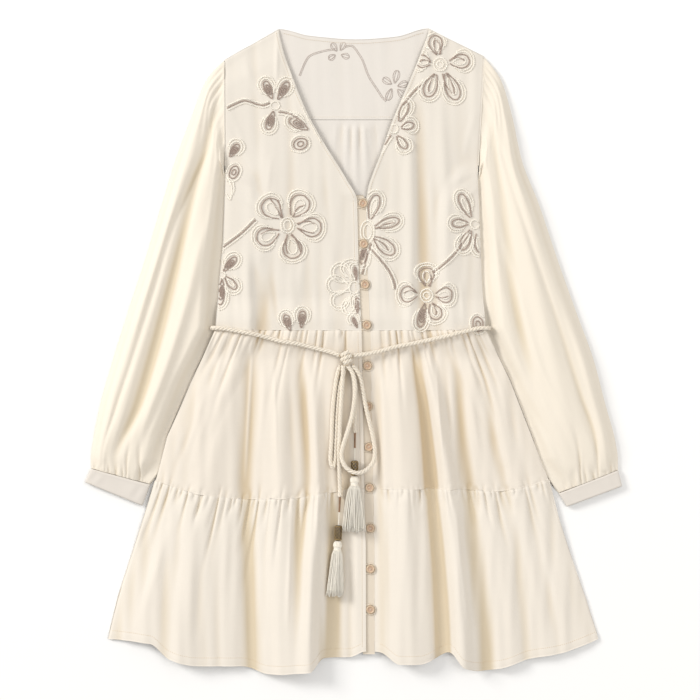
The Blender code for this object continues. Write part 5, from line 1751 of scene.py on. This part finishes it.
# %% [markdown]
# ## Buttons and their loops
# One button is spun in edit mode, with a raised rim and a dished middle in a darker colour. Eleven
# copies go down the band, each with its own mesh, and a cross of thread covers the place of
# each one's holes. A thin twisted cord from the left front's edge goes round each.

# %% Button
BUTTON_SHAPE = (
    (0, 1.75), (2.6, 1.75), (3.5, 1.95), (3.9, 2.5), (4.5, 2.85), (5.2, 2.6),
    (BUTTON_RADIUS, 1.7), (5.5, 0.8), (4.6, 0.1), (0, 0.0),
)
DISHED_RADIUS, DISHED_Z = 3.4, 1.2  # the darker middle is inside and above these
CROSS_REACH, CROSS_LOW, CROSS_RISE = 1.9, 1.6, 0.75
BUTTON_LIFT = 1.5 * GAP  # over the band
BUTTON_TURN = 0.5  # each is sewn on at another angle
LOOP_START = 2.1  # the loop goes this far round the button each way, in radians
LOOP_LIFT = 2.3 * GAP + LOOP_CORD / 2  # over the band
LOOP_EDGE, LOOP_UNDER = 1.3 * GAP, 0.6  # from the left front's edge, and on below it
LOOP_PLY, LOOP_PITCH, LOOP_STRAND = 0.36, 3.2, 0.42
button_base = spun("button_base", BUTTON_SHAPE, 28, button_shell)
button_base.data.materials.append(button_middle)
# The faces of the dished middle get the darker colour
for face in button_base.data.polygons:
    ring = math.hypot(face.center.x, face.center.y) / MM
    face.material_index = 1 if ring < DISHED_RADIUS and face.center.z > DISHED_Z * MM else 0
print("button:", len(button_base.data.polygons), "faces")


def button_places():
    for k in range(BUTTON_COUNT):
        y = BUTTON_TOP_Y - BUTTON_PITCH * k
        x = float(centre_x(y)) + BUTTON_INSET - BUTTON_DRIFT * k
        yield k, x, y, float(band_under(x, y)) + WALL


def cross_thread(turn):
    """Two threads across the button's holes, each a low arch."""
    share = np.linspace(-1, 1, 9)
    arch = CROSS_LOW + CROSS_RISE * (1 - share**4)
    ways = (math.pi / 4 + turn, 3 * math.pi / 4 + turn)
    return [round_line(CROSS_REACH * share, np.full(len(share), way), arch) for way in ways]


def loop_line(x, y, top):
    """From the left front's edge round the button and back to the edge."""
    edge = float(centre_x(y)) + LOOP_EDGE
    start = min(LOOP_START, math.acos(max((edge + 1.0 - x) / LOOP_RADIUS, -1.0)))
    turn = np.linspace(start, -start, 22)
    z = top + LOOP_LIFT
    arc = round_line(LOOP_RADIUS, turn, z) + np.array([x, y, 0])
    first, last = ([(edge - LOOP_UNDER, arc[end][1], z)] for end in (0, -1))
    return even_steps(np.concatenate([first, arc, last]), 0.9)


threads = []
for k, x, y, top in button_places():
    button = copy_of(button_base, f"shell_button_{k + 1:02d}")
    foot = Vector((x, y, top + BUTTON_LIFT))
    settle(button, Matrix.Translation(foot * MM) @ Matrix.Rotation(BUTTON_TURN * k, 4, "Z"))
    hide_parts(f"button_{k + 1:02d}")
    threads += [line + np.array(foot) for line in cross_thread(BUTTON_TURN * k)]
    plies = twisted(loop_line(x, y, top), 2, LOOP_PLY, LOOP_PITCH)
    loop = tubes_object(f"cord_loop_{k + 1:02d}", plies, LOOP_STRAND, 5, sewing_thread)
    sew_on(loop)
    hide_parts(f"button_loop_{k + 1:02d}")
bpy.data.objects.remove(button_base)
CROSS_THREAD = 0.32
button_threads = tubes_object("button_threads", threads, CROSS_THREAD, 5, sewing_thread)
sew_on(button_threads)

# %% [markdown]
# ## Flowers in couched yarn
# The flowers are drawn with yarn laid on the cloth and sewn down: a taupe yarn of two plies for
# petals and stems, and a cream thread with a second one zigzagged over it for the scallops
# round them. Each petal is given as base, tip and width. A line is bent over the cloth by
# reading the height of the front below every point, and is cut where the front ends.


# %% Petals, rings and stems
PETAL_STEPS = 26  # points along each side of a petal
PETAL_WIDEST = 0.62  # share of a petal's length at which it is widest
YARN_MARGIN = 1.6  # the yarn stops this far from a front's edges


def petal_line(base, tip, width, grow=0.0, start=0.0):
    """Outline of a petal, or of the scallop round it where `grow` is more than nothing."""
    base, tip = np.array(base, float), np.array(tip, float)
    length = np.linalg.norm(tip - base)
    axis = (tip - base) / length
    across = np.array([-axis[1], axis[0]])
    out = np.linspace(start, 1, PETAL_STEPS)
    share = np.concatenate([out, out[-2::-1]])
    sign = np.where(np.arange(len(share)) < PETAL_STEPS, 1, -1)
    narrow = 0.1 + 0.9 * np.sin(math.pi / 2 * np.clip(share / PETAL_WIDEST, 0, 1))
    round_end = np.sqrt(np.clip(1 - ((share - PETAL_WIDEST) / (1 - PETAL_WIDEST)) ** 2, 0, 1))
    half = (width / 2 + grow) * np.where(share < PETAL_WIDEST, narrow, round_end)
    return base + axis * (share * (length + grow))[:, None] + across * (sign * half)[:, None]


def filled_petal(base, tip, width):
    """Nested outlines that fill a petal."""
    base, tip = np.array(base, float), np.array(tip, float)
    lines = [petal_line(base, tip, width)]
    for inset in (0.6, 0.22):
        low, high = mix(base, tip, 0.5 - 0.38 * inset - 0.05), mix(base, tip, 0.62 + 0.3 * inset)
        lines.append(petal_line(low, high, max(width * inset, 0.6)))
    return lines


def ring_line(centre, wide, high, turn=0.0):
    angle = np.linspace(0, 2 * math.pi, 40)
    x, y = wide / 2 * np.cos(angle), high / 2 * np.sin(angle)
    c, s = math.cos(turn), math.sin(turn)
    return np.stack([centre[0] + c * x - s * y, centre[1] + s * x + c * y], axis=1)


def stem_line(points, shift=0.0):
    """A smooth stem through places; `shift` moves it sideways."""
    line = smooth_line([(x, y, 0) for x, y in points], 1.5)[:, :2]
    way = np.gradient(line, axis=0)
    way /= np.linalg.norm(way, axis=1, keepdims=True)
    return line + shift * np.stack([-way[:, 1], way[:, 0]], axis=1)


def inside_front(x, y, side):
    """Whether a place lies on the left or the right front, clear of its edges."""
    neck = through(LEFT_INNER if side < 0 else RIGHT_INNER, y)
    inner = np.where(y > V_END_Y, neck, centre_x(y))
    clear = (side * (x - inner) > YARN_MARGIN) & (side * (side_x(y, side) - x) > YARN_MARGIN)
    return clear & (y < shoulder_y(x) - YARN_MARGIN)


def laid_on_front(lines, side, step, lift):
    """The parts of flat lines that lie on the front, at the cloth's height."""
    flats = []
    for line in lines:
        flat = even_steps(np.concatenate([line, np.zeros((len(line), 1))], axis=1), step)
        wobble = 0.3 * np.sin(np.arange(len(flat)) * step / 1.7 + line[0, 0])
        flats.append(flat[:, :2] + wobble[:, None] * np.array([0.6, 0.5]))
    ends = np.cumsum([len(flat) for flat in flats])[:-1]
    x, y = np.concatenate(flats).T
    points = np.stack([x, y, front_top(x, y, side) + lift], axis=1)
    good = inside_front(x, y, side)
    runs = []
    for part, ok in zip(np.split(points, ends), np.split(good, ends)):
        cuts = np.flatnonzero(np.diff(ok.astype(int))) + 1
        runs += [run for run, on in zip(np.split(part, cuts), np.split(ok, cuts)) if on[0]]
    return [run for run in runs if len(run) > 4]


print("embroidery helpers ready")

# %% Motifs of the left front
# petals: base x, y, tip x, y, width
LEFT_FILLED = (
    (-111, 343, -121, 367, 10), (-103, 342, -89, 366, 10), (-109, 326, -117, 301, 10),
    (-62, 301, -87, 315, 12), (-169, 264, -157, 281, 9), (-177, 108, -160, 127, 9),
    (-179, 97, -182, 62, 9), (-86, 27, -93, 49, 9), (-71, 31, -69, 54, 9),
    (5, 50, 5, 72, 6), (4, 96, 2, 114, 4), (5, 31, -1, 45, 4),
)
LEFT_OPEN = (
    (-99, 180, -121, 204, 25), (-84, 182, -66, 210, 26), (-77, 169, -44, 167, 25),
    (-88, 158, -80, 126, 25), (-101, 162, -131, 150, 23), (-175, 101, -160, 84, 10),
)
LEFT_SPOKES = (
    ((-98, 180), (-106, 196), (-113, 206)), ((-96, 181), (-100, 194), (-102, 205)),
    ((-83, 182), (-76, 194), (-66, 198)), ((-77, 173), (-62, 176), (-52, 172)),
    ((-77, 167), (-64, 162), (-54, 160)), ((-90, 158), (-92, 146), (-90, 132)),
    ((-84, 159), (-76, 146), (-72, 134)), ((-101, 164), (-114, 164), (-126, 158)),
)
LEFT_STEMS = (
    ((-114, 337), (-125, 334), (-147, 340), (-160, 336), (-172, 330)),
    ((-102, 325), (-89, 323), (-77, 318)),
    ((-133, 178), (-153, 159), (-180, 139)),
    ((-180, 139), (-182, 124), (-179, 110)),
)
LEFT_RINGS_SEWN = ((-72.5, 281.5, 19, 15, 0.3), (-163, 243, 12, 18, -0.4))
LEFT_CREAM_PETALS = (
    (-168, 205, -173, 232, 10), (0, 96, -6, 121, 20), (-3, 94, -25, 113, 20), (-5, 87, -34, 90, 20),
    (-4, 80, -26, 62, 18), (-1, 76, -8, 52, 14),
)
LEFT_CREAM_RINGS = (
    (-90, 170.5, 18, 21, 0), (-90, 170.5, 10, 13, 0), (-107, 334, 12, 11, 0), (-179, 103, 9, 9, 0),
    (1, 86, 14, 16, 0),
)

# %% Motifs of the right front
RIGHT_FILLED = ((17, 147, 11, 118, 8), (97, 64, 90, 32, 10), (30, 296, 36, 316, 5))
RIGHT_OPEN = (
    (22, 178, 32, 212, 14), (160, 180, 145, 213, 12), (160, 165, 147, 137, 12),
    (62, 311, 73, 338, 11), (59, 293, 72, 275, 10),
    (28, 168, 62, 178, 13), (27, 155, 55, 132, 17), (100, 87, 99, 113, 20), (111, 76, 134, 75, 20),
    (105, 65, 115, 43, 17), (88, 76, 64, 77, 21), (157, 173, 134, 173, 11), (168, 160, 172, 134, 10),
    (64, 303, 82, 308, 10), (115, 402, 110, 430, 18), (130, 393, 158, 396, 19),
    (125, 379, 141, 342, 18), (112, 378, 100, 346, 17), (106, 391, 86, 396, 17),
)
RIGHT_SPOKES = (
    ((30, 166), (44, 172), (56, 174)), ((29, 152), (40, 146), (48, 136)),
    ((98, 88), (96, 98), (97, 108)),
    ((104, 87), (106, 97), (103, 107)), ((112, 73), (122, 72), (130, 74)),
    ((86, 79), (76, 82), (68, 78)),
    ((107, 64), (112, 56), (112, 48)), ((114, 404), (110, 414), (111, 426)),
    ((119, 404), (118, 414), (114, 424)),
    ((131, 396), (142, 400), (152, 396)), ((126, 378), (134, 364), (138, 348)),
    ((121, 377), (126, 362), (134, 350)),
    ((111, 377), (104, 364), (102, 352)), ((105, 393), (96, 396), (90, 394)),
)
RIGHT_STEMS = (
    ((24, 146), (19, 128), (12, 104)),
    ((22, 140), (37, 123), (48, 109), (55, 94), (57, 84)),
    ((158, 160), (138, 132), (120, 115), (108, 106)),
    ((51, 293), (43, 281), (36, 268)),
    ((68, 335), (80, 350), (92, 362)),
)
RIGHT_RINGS_SEWN = ((169, 36, 14, 20, 0.2),)
RIGHT_CREAM_RINGS = (
    (19, 162, 19, 30, 0), (19, 162, 11, 20, 0), (99.6, 75, 17, 18, 0), (99.6, 75, 9, 9, 0),
    (165, 172, 11, 12, 0), (118, 390, 18, 18, 0), (118, 390, 9, 9, 0), (55, 302, 11, 12, 0),
)

# %% [markdown]
# ## Laying the yarn
# Taupe petals get nested lines of the two-ply yarn. Round each petal run two cream scallops, and
# cream also follows the stems.

# %% Taupe and cream yarn
TAUPE_PLY, TAUPE_OFFSET, TAUPE_PITCH = 0.54, 0.48, 4.2
CREAM_CORE, CREAM_WAVE = 0.85, 0.58
ZIGZAG_SIZE, ZIGZAG_WAVE, ZIGZAG_RISE = 1.15, 2.9, 0.42
SCALLOPS = (3.4, 6.6)  # how far outside a petal its two cream lines run
STEM_SIDE = 2.9  # cream yarn beside a stem


def taupe_lines(filled, opened, spokes, stems, rings):
    lines = []
    for row in filled:
        lines += filled_petal(row[0:2], row[2:4], row[4])
    lines += [petal_line(row[0:2], row[2:4], row[4], start=0.04) for row in opened]
    lines += [stem_line(row) for row in spokes + stems]
    for x, y, wide, high, turn in rings:
        lines += [ring_line((x, y), wide, high, turn), ring_line((x, y), wide * 0.45, high * 0.45, turn)]
    return lines


def cream_lines(filled, opened, stems, rings, cream_rings, cream_petals=()):
    lines = []
    for row in filled + opened:
        for k, grow in enumerate(SCALLOPS):
            lines.append(petal_line(row[0:2], row[2:4], row[4], grow, 0.22 + 0.1 * k))
    for row in opened:
        base, tip = np.array(row[0:2]), np.array(row[2:4])
        lines.append(petal_line(mix(base, tip, 0.2), mix(base, tip, 0.82), row[4] * 0.5))
    for row in cream_petals:
        lines += [petal_line(row[0:2], row[2:4], row[4]), petal_line(row[0:2], row[2:4], row[4], 3.6, 0.2)]
    for row in stems:
        lines += [stem_line(row, STEM_SIDE), stem_line(row, -STEM_SIDE)]
    for x, y, wide, high, turn in cream_rings:
        lines.append(ring_line((x, y), wide, high, turn))
    for x, y, wide, high, turn in rings:
        lines.append(ring_line((x, y), wide + 8, high + 8, turn))
    return lines


def zigzag(line, size, wave):
    """A thread that swings from side to side over a line."""
    flat = np.cross(np.gradient(line, axis=0), (0, 0, 1.0))
    flat /= np.maximum(np.linalg.norm(flat, axis=1, keepdims=True), 1e-6)
    swing = size * np.sin(2 * math.pi * run_along(line) / wave)
    return line + flat * swing[:, None] + np.array([0, 0, ZIGZAG_RISE])


def sew_yarn(name, lines, side, taupe):
    """One front's yarn of one colour, made one piece."""
    strands, sizes = [], []
    if taupe:
        for run in laid_on_front(lines, side, 1.1, 0.75):
            strands += twisted(run, 2, TAUPE_OFFSET, TAUPE_PITCH)
            sizes += [TAUPE_PLY, TAUPE_PLY]
    else:
        for run in laid_on_front(lines, side, 0.75, 0.35):
            strands += [run[::2], zigzag(run, ZIGZAG_SIZE, ZIGZAG_WAVE)]
            sizes += [CREAM_CORE, CREAM_WAVE]
    piece = tubes_object(name, strands, sizes, 4, taupe_yarn if taupe else cream_yarn)
    sew_on(piece)
    return piece


V_EDGE = [(float(through(LEFT_INNER, y)) - 3.4, y) for y in range(332, 276, -8)]
left_taupe = taupe_lines(LEFT_FILLED, LEFT_OPEN, LEFT_SPOKES, LEFT_STEMS, LEFT_RINGS_SEWN)
left_cream = cream_lines(
    LEFT_FILLED, LEFT_OPEN, LEFT_STEMS, LEFT_RINGS_SEWN, LEFT_CREAM_RINGS, LEFT_CREAM_PETALS
)
left_cream.append(stem_line(V_EDGE))
right_taupe = taupe_lines(RIGHT_FILLED, RIGHT_OPEN, RIGHT_SPOKES, RIGHT_STEMS, RIGHT_RINGS_SEWN)
right_cream = cream_lines(RIGHT_FILLED, RIGHT_OPEN, RIGHT_STEMS, RIGHT_RINGS_SEWN, RIGHT_CREAM_RINGS)
sew_yarn("taupe_yarn_left", left_taupe, -1, True)
sew_yarn("taupe_yarn_right", right_taupe, 1, True)
sew_yarn("cream_yarn_left", left_cream, -1, False)
sew_yarn("cream_yarn_right", right_cream, 1, False)

# %% [markdown]
# ## Wrong side of the yoke's flowers
# Inside the neck the back yoke shows the flowers' wrong side: faint thread lines through the
# thin cotton. They are laid as fine flat lines.

# %% Faint lines on the yoke
YOKE_PETALS = (
    (-23, 409, -30, 420, 8), (-18, 410, -12, 421, 8), (-17, 404, -6, 401, 8), (-25, 404, -34, 398, 8),
    (56, 365, 60, 383, 9), (60, 361, 74, 366, 9), (52, 358, 46, 342, 9), (60, 357, 70, 346, 9),
    (52, 364, 40, 372, 9),
)
YOKE_STEMS = (
    ((-73, 375), (-66, 392), (-59, 402), (-42, 408), (-25, 411)),
    ((-12, 414), (-2, 415), (6, 405), (12, 395), (20, 374), (33, 354)),
    ((33, 354), (38, 346), (44, 340)),
)


def laid_on_back(line, step=1.4):
    flat = even_steps(np.concatenate([line, np.zeros((len(line), 1))], axis=1), step)
    x, y = flat[:, 0], flat[:, 1]
    return np.stack([x, y, back_top(x, y) + 0.12], axis=1)


YOKE_THREAD = 0.5
yoke_lines = []
for row in YOKE_PETALS:
    yoke_lines += [petal_line(row[0:2], row[2:4], row[4]), petal_line(row[0:2], row[2:4], row[4] * 0.45)]
for row in YOKE_STEMS:
    yoke_lines += [stem_line(row), stem_line(row, 1.8)]
yoke_lines = [laid_on_back(line) for line in yoke_lines]
wrong_side = tubes_object("yoke_wrong_side", yoke_lines, YOKE_THREAD, 4, pale_thread)
sew_on(wrong_side)

# %% [markdown]
# ## Topstitching
# Straight stitching holds the neck's turned edge, the left front's facing, the hem, the cuffs and
# the yoke seam. One stitch is a tiny spindle of a few faces, set end to end along each line.


# %% Stitches
STITCH, STITCH_GAP, STITCH_RADIUS = 2.1, 0.9, 0.27
STITCH_FULL = 0.28  # share of its length from a stitch's middle to where it begins to narrow
STITCH_SINK = 0.15  # how far its ends go down
STITCH_LIFT = 0.12  # its middle above the cloth


def stitch_points(lines):
    """Centre and direction of each stitch along the lines."""
    centres, ways = [], []
    for line in lines:
        stepped = even_steps(line, STITCH + STITCH_GAP)
        centres.append((stepped[1:] + stepped[:-1]) / 2)
        ways.append(stepped[1:] - stepped[:-1])
    ways = np.concatenate(ways)
    return np.concatenate(centres), ways / np.linalg.norm(ways, axis=1, keepdims=True)


def stitches_object(name, lines):
    centres, ways = stitch_points(lines)
    side = np.cross(ways, (0, 0, 1.0))
    side /= np.linalg.norm(side, axis=1, keepdims=True)
    up = np.cross(side, ways)
    half, ring = STITCH / 2, STITCH * STITCH_FULL
    corners = [centres - half * ways - STITCH_SINK * up]
    for end in (-ring, ring):
        for a, b in ((1, 0), (0, 1), (-1, 0), (0, -1)):
            corners.append(centres + end * ways + STITCH_RADIUS * (a * side + b * up))
    corners.append(centres + half * ways - STITCH_SINK * up)
    points = np.stack(corners, axis=1)
    tips = [(0, 1 + (i + 1) % 4, 1 + i) for i in range(4)]
    tips += [(9, 5 + i, 5 + (i + 1) % 4) for i in range(4)]
    walls = [(1 + i, 1 + (i + 1) % 4, 5 + (i + 1) % 4, 5 + i) for i in range(4)]
    start = np.arange(len(centres))[:, None, None] * 10
    tri, quad = ((start + np.array(part)).reshape(-1, len(part[0])) for part in (tips, walls))
    uv = np.zeros((tri.size + quad.size, 2))
    piece = mesh_object(name, points.reshape(-1, 3), [tri, quad], uv, None, sewing_thread)
    select_only(piece)
    bpy.ops.object.mode_set(mode="EDIT")
    bpy.ops.mesh.select_all(action="SELECT")
    bpy.ops.mesh.normals_make_consistent(inside=False)
    bpy.ops.object.mode_set(mode="OBJECT")
    piece.select_set(False)
    sew_on(piece)
    print(f"{name}: {len(centres)} stitches")


def stitched(x, y, side, over):
    """A line over the front's left or right side, or over the back where side is 0."""
    top = front_top(x, y, side) if side else back_top(x, y)
    return np.stack([x, y, top + over + STITCH_LIFT], axis=1)


NECK_INSET, FACING_INSET, HEM_INSET, BACK_INSET, YOKE_INSET = 4.2, 5.0, 11.5, 5.5, 3.0
lines = []
y = np.linspace(434, V_END_Y + 3, 240)
lines.append(stitched(through(LEFT_INNER, y) - NECK_INSET, y, -1, 0.4))
lines.append(stitched(through(RIGHT_INNER, y) + NECK_INSET, y, 1, 0.4))
for low, high in ((WAIST_Y + 3, V_END_Y), (-184, WAIST_Y - 3), (-404, -192)):
    y = np.linspace(high, low, 260)
    lines.append(stitched(centre_x(y) - FACING_INSET, y, -1, 0.25))
x = np.linspace(-96, 96, 200)
lines.append(stitched(x, through(BACK_NECK, x) - BACK_INSET, 0, 0.35))
x = np.linspace(-58, 50, 130)
lines.append(stitched(x, 0 * x + YOKE_Y + YOKE_INSET, 0, 0.1))
for side, first, last in ((-1, -330, 10), (1, 36, 330)):
    x = np.linspace(first, last, 420)
    lines.append(stitched(x, through(HEM, x) + HEM_INSET, side, 0.1))
CUFF_SINK = 0.25  # of a cuff's stitches, below its highest part
for corners in (LEFT_CUFF, RIGHT_CUFF):
    top_outer, top_inner, low_outer, low_inner = (np.array(corner, float) for corner in corners)
    for down in (0.1, 0.9):
        share = np.linspace(0.08, 0.92, 60)[:, None]
        place = mix(mix(top_outer, low_outer, down), mix(top_inner, low_inner, down), share)
        lines.append(np.column_stack([place, np.full(60, CUFF_HEIGHT - CUFF_SINK)]))
stitches_object("topstitching", lines)

# %% [markdown]
# ## Armhole seams
# Where a sleeve is sewn to the body, the seam's turned edges make a thin soft ridge.

# %% Seam ridges
WELT_RADIUS = 0.75
WELT_INSIDE, WELT_OUTSIDE, WELT_SINK = 1.2, 0.2, 0.1  # where its height is read, lies, and how low
welts = []
for side, low, high in ((-1, 252, 394), (1, 252, 398)):
    y = np.linspace(high, low, 110)
    x = side_x(y, side)
    z = front_top(x - side * WELT_INSIDE, y, side) - WELT_SINK
    welts.append(np.stack([x + side * WELT_OUTSIDE, y, z], axis=1))
armhole_welts = tubes_object("armhole_seams", welts, WELT_RADIUS, 8, bodice_cotton)
sew_on(armhole_welts)
